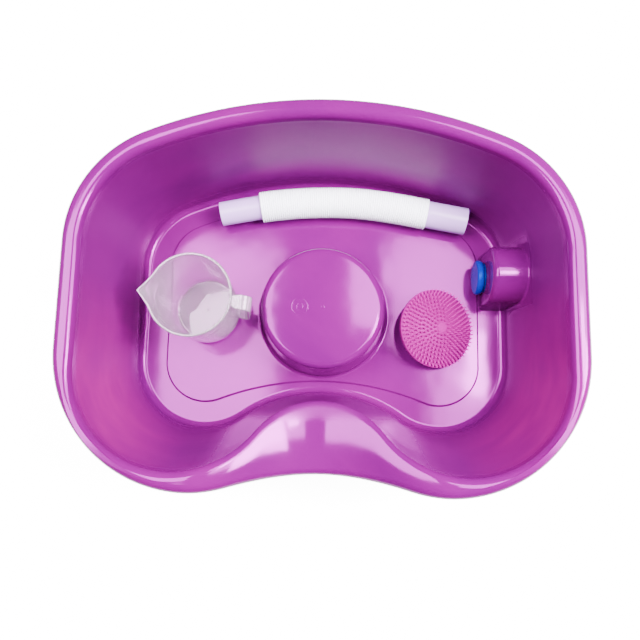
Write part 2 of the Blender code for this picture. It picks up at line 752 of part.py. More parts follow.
def pull_spout(mesh):
    """Draws the rim out to a pointed spout at -X."""
    start = JUG_HEIGHT - JUG_SPOUT_DROP
    for vert in mesh.verts:
        away = abs(pi - abs(atan2(vert.co.y, vert.co.x)))
        if vert.co.z <= start or away >= JUG_SPOUT_HALF_ANGLE:
            continue
        peak = (1 - away / JUG_SPOUT_HALF_ANGLE) ** JUG_SPOUT_POINT_SHARE
        vert.co.x -= JUG_SPOUT_REACH * peak * ((vert.co.z - start) / JUG_SPOUT_DROP) ** JUG_SPOUT_FLARE_SHARE


def handle_solid(name):
    """Strap handle: a bent bar from the wall below the rim to the wall above the base."""
    root = JUG_WALL / 2
    half = JUG_HANDLE_THICK / 2
    corner = JUG_HANDLE_CORNER
    lean = atan2(JUG_HANDLE_TOP_REACH - JUG_HANDLE_LOW_REACH, JUG_HANDLE_TOP - JUG_HANDLE_LOW)
    top_turn = (JUG_HANDLE_TOP_REACH - corner, JUG_HANDLE_TOP - corner)
    low_turn = (JUG_HANDLE_LOW_REACH - corner, JUG_HANDLE_LOW + corner)
    sides = []
    for way in (1, -1):
        radius = corner + way * half
        side = [(jug_radius(JUG_HANDLE_TOP) - root, JUG_HANDLE_TOP + way * half)]
        side += rounded(top_turn, radius, 90, -degrees(lean), 4)
        side += rounded(low_turn, radius, -degrees(lean), -90, 4)
        side.append((jug_radius(JUG_HANDLE_LOW) - root, JUG_HANDLE_LOW - way * half))
        sides.append(side)
    contour = sides[0] + list(reversed(sides[1]))
    mesh = bmesh.new()
    rings = []
    for way in (-1, 1):
        ring = []
        for x, z in contour:
            out = min(1, max(0, (x - jug_radius(z)) / corner))
            width = JUG_HANDLE_ROOT_WIDTH + (JUG_HANDLE_WIDTH - JUG_HANDLE_ROOT_WIDTH) * out
            ring.append(Vector((x, way * width / 2, z)))
        rings.append(ring)
    loft(mesh, rings)
    return put(name, mesh)


def measuring_jug(finish):
    mesh = turned(jug_profile(), JUG_STEPS)
    pull_spout(mesh)
    jug = put("measuring_jug", mesh, finish)
    handle = handle_solid("jug_handle")
    for thing in (jug, handle):
        thing.location = (JUG_X, JUG_Y, PLATFORM_Z + SEAT_GAP)
        thing.rotation_euler.z = JUG_TURN
    jug.rotation_euler.z += JUG_SPOUT_TURN
    return combine(jug, handle, "UNION")


# Scalp brush, modelled with its back in the plane Z = 0 and its bristles up


def dome_height(radius, rise, span):
    """Height of a spherical dome of this rise and span at a radius."""
    sphere = (span**2 + rise**2) / (2 * rise)
    return sqrt(sphere**2 - radius**2) - (sphere - rise)


def pad_top(radius):
    return BRUSH_PAD_EDGE + dome_height(radius, BRUSH_DOME_HEIGHT, BRUSH_PAD_RADIUS)


def bristle(mesh, place, lean, length, base, tip, sides):
    """One strand: a cone that starts inside the pad's skin."""
    turn = Matrix.Rotation(lean, 4, Vector((-place.y, place.x, 0)) if lean else Vector((1, 0, 0)))
    foot = Matrix.Translation(place) @ turn
    bmesh.ops.create_cone(
        mesh, cap_ends=True, segments=sides, radius1=base, radius2=tip, depth=length + BRISTLE_SINK,
        matrix=foot @ Matrix.Translation((0, 0, (length - BRISTLE_SINK) / 2)),
    )


def bristle_field():
    """Rings of pointed strands over the dome, leaning out with it, round a short blunt nub."""
    mesh = bmesh.new()
    sphere = (BRUSH_PAD_RADIUS**2 + BRUSH_DOME_HEIGHT**2) / (2 * BRUSH_DOME_HEIGHT)
    middle = Vector((0, 0, pad_top(0)))
    bristle(mesh, middle, 0, NUB_HEIGHT, NUB_RADIUS, NUB_RADIUS * NUB_TIP_SHARE, 2 * BRISTLE_RINGS)
    first = NUB_RADIUS + NUB_CLEARANCE
    last = BRUSH_PAD_RADIUS - BRISTLE_EDGE_MARGIN
    for ring in range(BRISTLE_RINGS):
        radius = first + (last - first) * ring / (BRISTLE_RINGS - 1)
        count = round(2 * pi * radius / BRISTLE_PITCH)
        lean = BRISTLE_SPLAY_SHARE * atan(radius / sqrt(sphere**2 - radius**2))
        for i in range(count):
            turn = 2 * pi * (i + ring % 2 / 2) / count
            place = Vector((radius * cos(turn), radius * sin(turn), pad_top(radius)))
            bristle(mesh, place, lean, BRISTLE_LENGTH, BRISTLE_BASE_RADIUS, 0, BRISTLE_SIDES)
    return put("bristle_field", mesh)


def brush_pad(finish, stand):
    """Domed soft skin with a lip that seats on the back."""
    outer = [BRUSH_PAD_RADIUS * sin(radians(turn)) for turn in (0, 18, 36, 54, 72)]
    inner_reach = BRUSH_PAD_RADIUS - BRUSH_PAD_LIP
    profile = [(radius, pad_top(radius)) for radius in outer]
    profile += [(BRUSH_PAD_RADIUS, BRUSH_PAD_EDGE), (BRUSH_PAD_RADIUS, SEAT_GAP), (inner_reach, SEAT_GAP)]
    for radius in (inner_reach * sin(radians(turn)) for turn in (62, 40, 20, 0)):
        profile.append((radius, pad_top(radius) - BRUSH_PAD_SKIN))
    pad = put("brush_pad", turned(profile, BRUSH_STEPS), finish)
    field = bristle_field()
    for thing in (pad, field):
        thing.parent = stand
    return combine(pad, field, "UNION")


def brush_handle(finish, stand):
    """Round back with a waisted knob to hold."""
    edge = BRUSH_BACK_THICK
    waist = BRUSH_KNOB_WAIST
    knob = BRUSH_KNOB_DROP
    bulge_z = -(waist + knob) / 2
    profile = [
        (0, 0),
        (BRUSH_BACK_RADIUS, 0),
        (BRUSH_BACK_RADIUS, -edge),
        (BRUSH_BACK_RADIUS - edge, -edge - SEAT_GAP),
        (BRUSH_KNOB_RADIUS, -edge - edge),
        (BRUSH_NECK_RADIUS + edge / 2, -edge - edge),
        (BRUSH_NECK_RADIUS, -waist),
        (BRUSH_KNOB_RADIUS - edge, bulge_z + edge),
        (BRUSH_KNOB_RADIUS, bulge_z - edge / 2),
        (BRUSH_KNOB_RADIUS - edge / 3, -knob + edge / 2),
        (BRUSH_KNOB_FOOT_RADIUS, -knob),
        (0, -knob),
    ]
    handle = put("brush_handle", turned(profile, BRUSH_STEPS), finish)
    handle.parent = stand
    return handle


def brush_stand():
    """Empty that holds the brush at its tilt, knob and edge on the floor."""
    stand = bpy.data.objects.new("brush_stand", None)
    bpy.context.collection.objects.link(stand)
    low = BRUSH_BACK_RADIUS * sin(BRUSH_TILT) + BRUSH_BACK_THICK * cos(BRUSH_TILT)
    stand.location = (BRUSH_X, BRUSH_Y, PLATFORM_Z + SEAT_GAP + low)
    stand.rotation_euler = (0, BRUSH_TILT, 0)
    return stand


def main():
    clear_scene()
    basin_shell(plastic("basin_magenta", (0.55, 0.03, 0.55), 0.16))
    outlet_spigot(plastic("outlet_blue", (0.01, 0.10, 0.46), 0.3))
    outlet_washer(plastic("washer_rubber", (0.04, 0.04, 0.04), 0.7))
    outlet_nut(plastic("nut_blue", (0.01, 0.09, 0.42), 0.3))
    drain_stopper(plastic("stopper_blue", (0.02, 0.16, 0.72), 0.35))
    drain_hose(plastic("hose_white", (0.86, 0.86, 0.9), 0.4))
    measuring_jug(plastic("jug_clear", (0.9, 0.88, 0.92), 0.15, 0.35))
    stand = brush_stand()
    brush_pad(plastic("bristle_pink", (0.95, 0.12, 0.68), 0.4), stand)
    brush_handle(plastic("handle_pink", (0.9, 0.1, 0.6), 0.3), stand)


main()
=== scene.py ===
"""The finished look of a portable shampoo basin and what lies in it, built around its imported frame.

Metres, +Z up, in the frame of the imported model: the origin is the middle of the footprint on the
ground, +X runs along the long side towards the outlet, and the neck rest faces -Y.
"""

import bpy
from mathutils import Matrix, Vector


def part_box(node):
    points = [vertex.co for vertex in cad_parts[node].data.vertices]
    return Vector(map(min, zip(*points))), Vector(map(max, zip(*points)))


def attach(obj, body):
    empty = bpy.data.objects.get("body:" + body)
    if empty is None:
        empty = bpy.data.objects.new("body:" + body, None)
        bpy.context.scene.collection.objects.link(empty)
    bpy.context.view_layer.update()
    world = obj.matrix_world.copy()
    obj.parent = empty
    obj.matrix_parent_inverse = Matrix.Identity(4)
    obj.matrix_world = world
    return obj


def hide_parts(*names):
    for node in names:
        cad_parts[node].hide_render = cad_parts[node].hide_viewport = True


bl_info = {
    "name": "Portable Shampoo Basin",
    "version": (1, 0, 0),
    "blender": (4, 5, 0),
    "location": "View3D > Sidebar > Basin",
    "description": (
        "Builds the moulded basin, its outlet, drain hose, measuring jug and scalp brush"
    ),
    "category": "Add Mesh",
}

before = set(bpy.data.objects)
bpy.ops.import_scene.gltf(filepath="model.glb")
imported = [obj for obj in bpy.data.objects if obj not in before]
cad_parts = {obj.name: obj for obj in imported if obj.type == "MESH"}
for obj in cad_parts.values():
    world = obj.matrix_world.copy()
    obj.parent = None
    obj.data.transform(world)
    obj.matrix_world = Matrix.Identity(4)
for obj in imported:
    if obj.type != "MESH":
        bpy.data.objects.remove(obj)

from math import asin, atan, atan2, cos, degrees, hypot, pi, radians, sin, sqrt
from types import SimpleNamespace
from typing import NamedTuple

import bmesh
import bpy
from bpy.props import FloatProperty, FloatVectorProperty, IntProperty, PointerProperty
from bpy.types import Operator, Panel, PropertyGroup
from mathutils import Matrix, Vector

BASIN_LOW, BASIN_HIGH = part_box("basin_shell")

# Clearance that touching pieces keep, and how far a cutter runs past the face that it cuts
SEAT_GAP = 0.0003
OVERRUN = 0.004
# Points closer than this are one
WELD = 0.00001
# Slope of the basin's wall where it leaves the floor's fillet, in degrees
STEEPEST = 80

# Axis of the drain hose from above: where it starts along X, its step, and its Y at each step
HOSE_START = -0.136
HOSE_STEP = 0.02
HOSE_BOW = (
    0.1259, 0.1299, 0.1337, 0.1371, 0.1398, 0.1418, 0.1431, 0.1438, 0.1438,
    0.1429, 0.1411, 0.1385, 0.1353, 0.1317, 0.1282, 0.1247, 0.1212,
)

# Softboxes: two corners over the floor, how far each hangs below the lamp height, and its gain
SOFTBOXES = {
    "softbox_left": ((-1.20, -0.24), (-0.165, 0.42), 0, 1),
    "softbox_right": ((0.345, -0.20), (1.50, 0.45), 0, 1),
    "softbox_far": ((0.80, -0.32), (1.26, 0.08), OVERRUN, 3),
    "softbox_edge": ((0.46, -0.06), (0.72, 0.16), OVERRUN, 3),
    "softbox_inner": ((0.20, 0.09), (0.345, 0.45), 0, 1),
}


# Properties


def length(title, about, value):
    return FloatProperty(
        name=title, description=about, default=value, precision=4, unit="LENGTH", subtype="DISTANCE"
    )


def turn(title, about, value):
    return FloatProperty(
        name=title, description=about, default=radians(value), unit="ROTATION", subtype="ANGLE"
    )


def share(title, about, value):
    return FloatProperty(
        name=title, description=about, default=value, min=0, max=2, subtype="FACTOR"
    )


def count(title, about, value):
    return IntProperty(name=title, description=about, default=value, min=1)


def colour(title, about, *value):
    return FloatVectorProperty(
        name=title, description=about, default=value, size=3, min=0, max=1, subtype="COLOR"
    )


def amount(title, about, value):
    return FloatProperty(name=title, description=about, default=value, min=0)


class ShampooBasin(PropertyGroup):
    """Sizes and colours of the moulded basin."""

    half_width: length("Half width", "From the middle to the side of the rim", BASIN_HIGH[0])
    back: length("Back", "From the middle to the back of the rim", BASIN_HIGH[1])
    front: length("Front", "Front of the rim's lobes", BASIN_LOW[1])
    height: length("Height", "From the ground to the top of the rim", BASIN_HIGH[2])
    crown_radius: length("Crown radius", "Bow of the rim's back", 0.506)
    corner_radius: length("Corner radius", "Bow of the rim's back corners", 0.135)
    lobe_radius: length("Lobe radius", "Bow of the rim's front lobes", 0.1475)
    wall: length("Wall", "Thickness of the moulding", 0.0025)
    roll_radius: length("Roll radius", "Radius of the rolled rim", 0.0095)
    rim_width: length("Rim width", "From the rim's outside to the mouth", 0.022)
    skirt_drop: length("Skirt drop", "From the top of the rim to the edge of its skirt", 0.022)
    mouth_lobe_radius: length("Mouth lobe radius", "Bow of the mouth's front lobes", 0.1055)
    neck_depth: length("Neck rest depth", "From the mouth to the outside of the neck rest", 0.080)
    neck_dip: length("Neck rest dip", "How far the neck rest lies below the rim", 0.050)
    neck_half: length(
        "Neck rest half width", "Where the neck rest's dip starts, from the middle", 0.140
    )
    neck_crown: length("Neck rest crown", "Bow across the top of the neck rest", 0.0015)
    run_side: length("Side run", "How far the side walls lean out", 0.029)
    run_back: length("Back run", "How far the back wall leans out", 0.022)
    run_front: length("Front run", "How far the lobes' walls lean out", 0.0485)
    run_neck: length("Neck run", "How far the wall under the neck rest leans out", 0.021)
    floor_crown_radius: length("Floor crown radius", "Bow of the floor's back", 0.460)
    floor_corner_radius: length("Floor corner radius", "Bow of the floor's back corners", 0.080)
    floor_lobe_radius: length("Floor lobe radius", "Bow of the floor's front lobes", 0.078)
    floor_fillet: length("Floor fillet", "Round between the wall and the floor", 0.009)
    channel_side: length("Channel at the sides", "Width of the channel at the sides", 0.0255)
    channel_back: length("Channel at the back", "Width of the channel at the back", 0.0195)
    channel_front: length("Channel at the front", "Width of the channel at the front", 0.0235)
    channel_pinch: length("Channel pinch", "Width of the channel before the head support", 0.005)
    platform_rise: length("Platform rise", "Height of the platform over the channel", 0.0035)
    platform_slope: length("Platform slope", "Run of the platform's edge", 0.002)
    platform_ease: length("Platform ease", "How far its edge runs out into the channel", 0.0006)
    boss_y: length("Head support place", "Middle of the head support", -0.002)
    boss_height: length("Head support height", "From the platform to the edge of its top", 0.062)
    boss_foot: length("Head support foot radius", "Radius at its foot", 0.081)
    boss_top: length("Head support top radius", "Radius at its top", 0.0755)
    boss_fillet: length("Head support fillet", "Round at its foot", 0.005)
    boss_edge: length("Head support edge", "Round at its top edge", 0.009)
    boss_dome: length("Head support dome radius", "Bow of its top", 1.8)
    boss_fall: length(
        "Head support fall", "Fall of its top towards the outlet, from middle to edge", 0.0026
    )
    pocket_reach: length("Pocket reach", "How far the pocket reaches into the floor", 0.024)
    pocket_y: length("Pocket place", "Middle of the pocket", 0.045)
    pocket_half: length("Pocket half width", "Half the width of the pocket", 0.0357)
    pocket_draft: length("Pocket draft", "How far its sides lean out at the foot", 0.002)
    pocket_top: length("Pocket top", "Height of the pocket", 0.085)
    pocket_edge: length("Pocket edge", "Round at the edge of its face", 0.007)
    pocket_flare: length("Pocket flare", "Round where it meets the wall", 0.0025)
    mark_x: length("Mould mark place", "Middle of the round mould mark on the head support", -0.028)
    mark_radius: length("Mould mark radius", "Radius of the round mould mark", 0.0105)
    gate_radius: length("Gate radius", "Radius of the moulding gate's scar", 0.0022)
    bow_steps: count("Bow steps", "Points on the bow of one back corner", 30)
    deep: colour("Deep magenta", "The plastic's darker tint", 0.072, 0.0, 0.072)
    bright: colour("Bright magenta", "The plastic's lighter tint", 0.106, 0.0, 0.094)
    # Painted light: the tint of a glow painted on the front corners' walls, not a colour of the
    # plastic
    glow: colour("Glow", "Where light comes through the front corners", 0.195, 0.0, 0.120)
    wall_haze: share("Wall haze", "How much less glossy the walls are", 0.38)
    sheen: colour("Sheen", "Tint of the gloss", 1.0, 0.12, 0.95)


class BasinOutlet(PropertyGroup):
    """Sizes and colours of the outlet and its stopper."""

    y: length("Place", "Middle of the outlet", 0.046)
    height: length("Height", "Outlet's axis above the ground", 0.030)
    radius: length("Spigot radius", "Outside of the spigot's tube", 0.0135)
    wall: length("Spigot wall", "Thickness of the tube", 0.0023)
    reach: length("Spigot length", "From the flange to the end of the tube", 0.029)
    flange_radius: length("Flange radius", "Radius of the flange", 0.0195)
    flange_thick: length("Flange thickness", "Thickness of the flange", 0.0020)
    washer_radius: length("Washer radius", "Radius of the washer", 0.0185)
    washer_thick: length("Washer thickness", "Thickness of the washer", 0.0015)
    nut_flats: length("Nut half flats", "From the axis to a flat of the nut", 0.0185)
    nut_thick: length("Nut thickness", "Thickness of the nut", 0.0055)
    running_gap: length("Running gap", "Clearance round the tube", 0.0004)
    thread_pitch: length("Thread pitch", "From one turn of the thread to the next", 0.0022)
    thread_rise: length("Thread rise", "How far the thread stands out", 0.0003)
    thread_turns: count("Thread turns", "Turns of the thread", 7)
    stopper_radius: length("Stopper radius", "Radius of the stopper's cap", 0.022)
    stopper_thick: length("Stopper thickness", "Thickness of the stopper's cap", 0.0088)
    stopper_edge: length("Stopper edge", "Round at the edge of the cap", 0.0035)
    shank_length: length("Shank length", "Length of the stopper's shank", 0.013)
    shank_taper: length("Shank taper", "How much the shank narrows", 0.0006)
    shank_wall: length("Shank wall", "Thickness of the shank's wall", 0.0025)
    navy: colour("Outlet blue", "Colour of the spigot and nut", 0.0, 0.012, 0.16)
    black: colour("Washer black", "Colour of the washer", 0.022, 0.022, 0.024)
    blue: colour("Stopper blue", "Colour of the stopper", 0.0, 0.012, 0.24)


class DrainHose(PropertyGroup):
    """Sizes and colours of the ribbed drain hose."""

    rib: length("Rib radius", "Radius over the ribs", 0.0202)
    groove: length("Groove radius", "Radius between the ribs", 0.0187)
    left_radius: length("Left end radius", "Radius of the plain left end", 0.0157)
    right_radius: length("Right end radius", "Radius of the plain right end", 0.0176)
    left_length: length("Left end length", "Length of the plain left end", 0.0530)
    right_length: length("Right end length", "Length of the plain right end", 0.0515)
    wall: length("Wall", "Thickness of the hose", 0.0013)
    ribs: count("Ribs", "Ribs along the hose", 78)
    steps: count("Steps for each rib", "Rings of points for each rib", 8)
    sides: count("Sides", "Points round the hose", 48)
    white: colour("Hose white", "Colour of the ribbed length", 0.88, 0.87, 0.97)
    grey: colour("End tint", "Colour of the translucent ends", 0.58, 0.32, 0.78)


class MeasuringJug(PropertyGroup):
    """Sizes and colours of the clear jug."""

    x: length("Place", "Middle of the jug", -0.151)
    turn: turn("Turn", "Turn of its handle", -7.5)
    spout_turn: turn("Spout turn", "Turn of the spout against the handle", 4)
    height: length("Height", "Height of the jug", 0.120)
    rim: length("Rim radius", "Radius at the rim", 0.0475)
    base: length("Base radius", "Radius at the base", 0.0430)
    wall: length("Wall", "Thickness of the wall", 0.0018)
    fillet: length("Base fillet", "Round at the base", 0.006)
    foot_height: length("Foot height", "Height of the foot ring", 0.0025)
    foot_radius: length("Foot radius", "Radius of the foot ring", 0.0355)
    foot_width: length("Foot width", "Width of the foot ring", 0.0030)
    bead: length("Bead", "How far the rim's bead stands out", 0.0012)
    bead_height: length("Bead height", "Height of the rim's bead", 0.003)
    spout_reach: length("Spout reach", "How far the spout reaches past the rim", 0.012)
    spout_drop: length("Spout drop", "Height of the spout", 0.026)
    spout_half: turn("Spout half angle", "Where the spout leaves the rim", 24)
    spout_point: share("Spout point", "How sharply the spout comes to its point", 1.4)
    spout_flare: share("Spout flare", "How the spout opens with height", 1.5)
    handle_top_reach: length("Handle top reach", "From the axis to the top of the handle", 0.068)
    handle_low_reach: length("Handle low reach", "From the axis to the foot of the handle", 0.060)
    handle_top: length("Handle top", "Height of the handle's top", 0.115)
    handle_low: length("Handle foot", "Height of the handle's foot", 0.034)
    handle_thick: length("Handle thickness", "Thickness of the strap", 0.0036)
    handle_width: length("Handle width", "Width of the strap", 0.017)
    handle_root: length("Handle root width", "Width of the strap at the wall", 0.012)
    handle_corner: length("Handle corner", "Bend of the strap", 0.008)
    steps: count("Steps", "Points round the jug", 144)
    clear: colour("Clear plastic", "Tint of the jug", 0.98, 0.79, 0.97)


class ScalpBrush(PropertyGroup):
    """Sizes and colours of the scalp brush."""

    x: length("Place along", "Middle of the brush's back along the basin", 0.1442)
    y: length("Place across", "Middle of the brush's back across the basin", -0.0208)
    pad_radius: length("Pad radius", "Radius of the soft pad", 0.0502)
    pad_edge: length("Pad edge", "Height of the pad's edge", 0.0025)
    pad_skin: length("Pad skin", "Thickness of the pad's skin", 0.0022)
    pad_lip: length("Pad lip", "Width of the lip under the pad", 0.004)
    dome: length("Dome", "Height of the pad's dome", 0.013)
    back_radius: length("Back radius", "Radius of the back", 0.0492)
    back_thick: length("Back thickness", "Thickness of the back", 0.003)
    neck_radius: length("Neck radius", "Radius of the knob's neck", 0.009)
    knob_radius: length("Knob radius", "Radius of the knob", 0.016)
    knob_foot: length("Knob foot radius", "Radius of the knob's flat end", 0.012)
    knob_drop: length("Knob drop", "From the back to the end of the knob", 0.0165)
    knob_waist: length("Knob waist", "From the back to the knob's neck", 0.0075)
    bristle: length("Bristle length", "Length of a bristle", 0.0063)
    bristle_sink: length("Bristle sink", "How far a bristle starts inside the skin", 0.0010)
    bristle_base: length("Bristle base radius", "Radius of a bristle at its foot", 0.00165)
    pitch: length("Bristle pitch", "From one bristle to the next", 0.00495)
    margin: length("Edge margin", "From the last ring of bristles to the pad's edge", 0.0042)
    rings: count("Rings", "Rings of bristles", 9)
    sides: count("Bristle sides", "Points round a bristle", 10)
    seed: count("Stray seed", "Seed of the bristles' stray lean", 4)
    splay: share("Splay", "How far the bristles lean out with the dome", 1.6)
    nub_radius: length("Nub radius", "Radius of the nub in the middle", 0.0075)
    nub_height: length("Nub height", "Height of the nub", 0.0012)
    nub_clearance: length("Nub clearance", "From the nub to the first ring", 0.0022)
    pink: colour("Bristle pink", "Colour of the pad and bristles", 0.30, 0.0, 0.195)
    rose: colour("Back pink", "Colour of the back and knob", 0.15, 0.0, 0.095)


class BasinStudio(PropertyGroup):
    """The floor, the lights and the camera."""

    lens: amount("Lens", "Focal length in millimetres", 35)
    place: FloatVectorProperty(
        name="Camera place", description="Where the camera hangs",
        default=(0.0072, -0.1275, 0.8158), subtype="XYZ"
    )
    tilt: turn("Tilt", "Camera's tilt from straight down, towards the back", 8.3)
    yaw: turn("Yaw", "Camera's turn to the side", -0.773)
    roll: turn("Roll", "Camera's roll", 1.083)
    lamp_height: length("Lamp height", "Height of the softboxes", 1.2)
    lamp_gain: amount("Lamp radiance", "Radiance of the softboxes' faces", 28.0)
    sky_gain: amount("Sky radiance", "Radiance of the room's walls", 4.4)
    floor_glow: amount("Floor glow", "How bright the camera sees the floor", 12.0)
    floor_radius: length("Floor radius", "Radius of the floor", 6)
    white: colour("Floor white", "Colour of the floor", 0.93, 0.93, 0.93)


# Points and outlines


def spread(low, high, steps):
    """Evenly spread values from low to high, both included."""
    return [low + (high - low) * i / steps for i in range(steps + 1)]


def eased(part):
    """A share that leaves 0 and reaches 1 without a corner."""
    return part * part * (3 - 2 * part)


def on_circle(centre, radius, turns):
    return [(centre[0] + radius * cos(t), centre[1] + radius * sin(t)) for t in turns]


def arc(centre, radius, start, end, steps):
    """Points on an arc, without its last one."""
    return on_circle(centre, radius, spread(start, end, steps)[:-1])


def rounded(centre, radius, start, end, steps=4):
    """Profile points round an edge, both ends included, with angles in degrees."""
    return on_circle(centre, radius, map(radians, spread(start, end, steps)))


class Outline(NamedTuple):
    """A kidney outline of tangent arcs: back crown, corners, sides, front lobes and neck."""

    half_width: float
    back: float
    front: float
    neck: float
    crown_radius: float
    corner_radius: float
    lobe_radius: float

    def inset(self, by):
        ways = (-1, -1, 1, 1, -1, -1, -1)
        return Outline(*(value + way * by for value, way in zip(self, ways)))

    def towards(self, other, part):
        return Outline(*(a + (b - a) * part for a, b in zip(self, other)))

    def points(self, steps):
        """The outline's points, anticlockwise from the middle of the back."""
        crown = (0, self.back - self.crown_radius)
        corner_x = self.half_width - self.corner_radius
        span = sqrt((self.crown_radius - self.corner_radius) ** 2 - corner_x**2)
        corner = (corner_x, crown[1] + span)
        lobe = (self.half_width - self.lobe_radius, self.front + self.lobe_radius)
        rise = lobe[1] - self.neck
        beyond = lobe[0] ** 2 + rise**2 - self.lobe_radius**2
        neck_radius = beyond / (2 * (self.lobe_radius - rise))
        neck = (0, self.neck - neck_radius)
        crown_end = atan2(corner[1] - crown[1], corner[0] - crown[0])
        lobe_end = atan2(neck[1] - lobe[1], neck[0] - lobe[0])
        right = arc(crown, self.crown_radius, pi / 2, crown_end, steps + steps // 3)
        right += arc(corner, self.corner_radius, crown_end, 0, steps)
        right += [(self.half_width, y) for y in spread(corner[1], lobe[1], steps // 2)[:-1]]
        right += arc(lobe, self.lobe_radius, 0, lobe_end, steps + steps // 2)
        right += arc(neck, neck_radius, lobe_end + pi, pi / 2, steps) + [(0, self.neck)]
        left = [(-x, y) for x, y in reversed(right[1:-1])]
        return list(reversed(right + left))


class BasinForm:
    """The basin's outlines, and the rings of points that its skins are lofted through."""

    def __init__(self, b):
        self.b = b
        top_neck = b.boss_y - b.boss_foot - b.boss_fillet - SEAT_GAP
        foot_neck = top_neck - b.platform_slope
        floor_neck = foot_neck - b.channel_pinch
        mouth_neck = floor_neck - b.run_neck
        radii = (b.crown_radius, b.corner_radius, b.lobe_radius)
        rim = Outline(b.half_width, b.back, b.front, mouth_neck - b.neck_depth, *radii)
        mouth = rim.inset(b.rim_width)
        mouth = mouth._replace(neck=mouth_neck, lobe_radius=b.mouth_lobe_radius)
        floor = Outline(
            mouth.half_width - b.run_side, mouth.back - b.run_back, mouth.front + b.run_front,
            floor_neck, b.floor_crown_radius, b.floor_corner_radius, b.floor_lobe_radius,
        )
        foot = Outline(
            floor.half_width - b.channel_side, floor.back - b.channel_back,
            floor.front + b.channel_front, foot_neck, floor.crown_radius - b.channel_back,
            floor.corner_radius - b.channel_side, floor.lobe_radius - b.channel_side,
        )
        self.rim, self.mouth, self.floor, self.platform_foot = rim, mouth, floor, foot
        self.platform_top = foot.inset(b.platform_slope)._replace(neck=top_neck)
        self.platform_z = b.wall + b.platform_rise
        self.pocket_face = floor.half_width - b.pocket_reach
        self.roll_z = b.height - b.roll_radius
        self.skirt_z = b.height - b.skirt_drop
        self.edge_z = self.platform_z + b.boss_height - b.boss_edge
        # Slope at which the head support's dome meets its rounded edge, and the dome's middle
        dome = b.boss_dome - b.boss_edge
        self.dome_lean = asin((b.boss_top - b.boss_edge) / dome)
        self.dome_z = self.edge_z - dome * cos(self.dome_lean)

    def dip(self, x, y):
        """How far the neck rest lies below the rest of the rim."""
        if y > 0 or abs(x) > self.b.neck_half:
            return 0
        return self.b.neck_dip * cos(pi * x / (2 * self.b.neck_half)) ** 2

    def ring(self, shape, z, dipped=0):
        """An outline at a height, or below it where the neck rest dips."""
        points = shape.points(self.b.bow_steps)
        return [Vector((x, y, z - dipped * self.dip(x, y))) for x, y in points]

    def roll(self, outline, way, radius, turns):
        """A quarter of the rolled rim, drawn at a radius round the roll's middle."""
        rings = []
        for angle in turns:
            step = self.b.roll_radius - radius * cos(angle)
            rings.append(self.ring(outline.inset(way * step), self.roll_z + radius * sin(angle), 1))
        return rings

    def neck_rest(self, part):
        """A ring over the top of the rim, slightly crowned where the neck lies."""
        b = self.b
        outer, inner = self.rim.inset(b.roll_radius), self.mouth.inset(-b.roll_radius)
        ring = self.ring(outer.towards(inner, part), b.height, 1)
        bow = b.neck_crown * 4 * part * (1 - part)
        for point in ring:
            point.z += bow * self.dip(point.x, point.y) / b.neck_dip
        return ring

    def fillet(self, depth, angle=STEEPEST):
        """Outline and height of the floor's fillet at a slope, at a depth into the material."""
        radius = self.b.floor_fillet + depth
        outline = self.floor.inset(-radius * sin(radians(angle)))
        return outline, self.b.wall + self.b.floor_fillet - radius * cos(radians(angle))

    def walls(self, depth, parts, steps):
        """The wall and its fillet, from below the roll to the floor, at a depth."""
        foot, foot_z = self.fillet(depth)
        mouth = self.mouth.inset(-depth)
        rings = []
        for part in parts:
            ring = self.ring(foot.towards(mouth, part), self.roll_z, 1)
            for point in ring:
                point.z = foot_z + (point.z - foot_z) * part
            rings.append(ring)
        return rings + [self.ring(*self.fillet(depth, a)) for a in spread(STEEPEST, 0, steps)]

    def platform_edge(self, depth):
        """The rounded step between the channel and the platform."""
        b = self.b
        foot = self.platform_foot.inset(-b.platform_ease)
        return [
            self.ring(
                foot.towards(self.platform_top, part),
                b.wall - depth + b.platform_rise * eased(part),
            )
            for part in spread(0, 1, 8)
        ]

    def boss(self, radius, z, fall=0):
        """A ring round the head support, in line with the platform's edge, falling to +X."""
        b = self.b
        ring = []
        for x, y in self.platform_top.points(b.bow_steps):
            angle = atan2(y - b.boss_y, x)
            east = radius * cos(angle)
            height = z - fall * east / b.boss_top
            ring.append(Vector((east, b.boss_y + radius * sin(angle), height)))
        return ring

    def bosses(self, depth, foot_steps, edge_steps, dome_steps):
        """The head support's rings, from its foot over its edge and up its dome, and its top."""
        b = self.b
        fillet, edge, dome = b.boss_fillet + depth, b.boss_edge - depth, b.boss_dome - depth
        foot_z = self.platform_z + b.boss_fillet
        centre = b.boss_top - b.boss_edge
        rings = []
        for angle in map(radians, spread(0, 86, foot_steps)):
            radius = b.boss_foot + b.boss_fillet - fillet * sin(angle)
            rings.append(self.boss(radius, foot_z - fillet * cos(angle)))
        for angle in spread(radians(3), pi / 2 - self.dome_lean, edge_steps):
            z = self.edge_z + edge * sin(angle)
            rings.append(self.boss(centre + edge * cos(angle), z, b.boss_fall))
        for angle in spread(self.dome_lean, 0, dome_steps)[1:-1]:
            z = self.dome_z + dome * cos(angle)
            rings.append(self.boss(dome * sin(angle), z, b.boss_fall))
        return rings, Vector((0, b.boss_y, self.dome_z + dome))

    def dome_height(self, x, y):
        """Height of the head support's dome at a place."""
        b = self.b
        bow = sqrt(b.boss_dome**2 - x**2 - (y - b.boss_y) ** 2)
        return self.dome_z - b.boss_fall * x / b.boss_top + bow

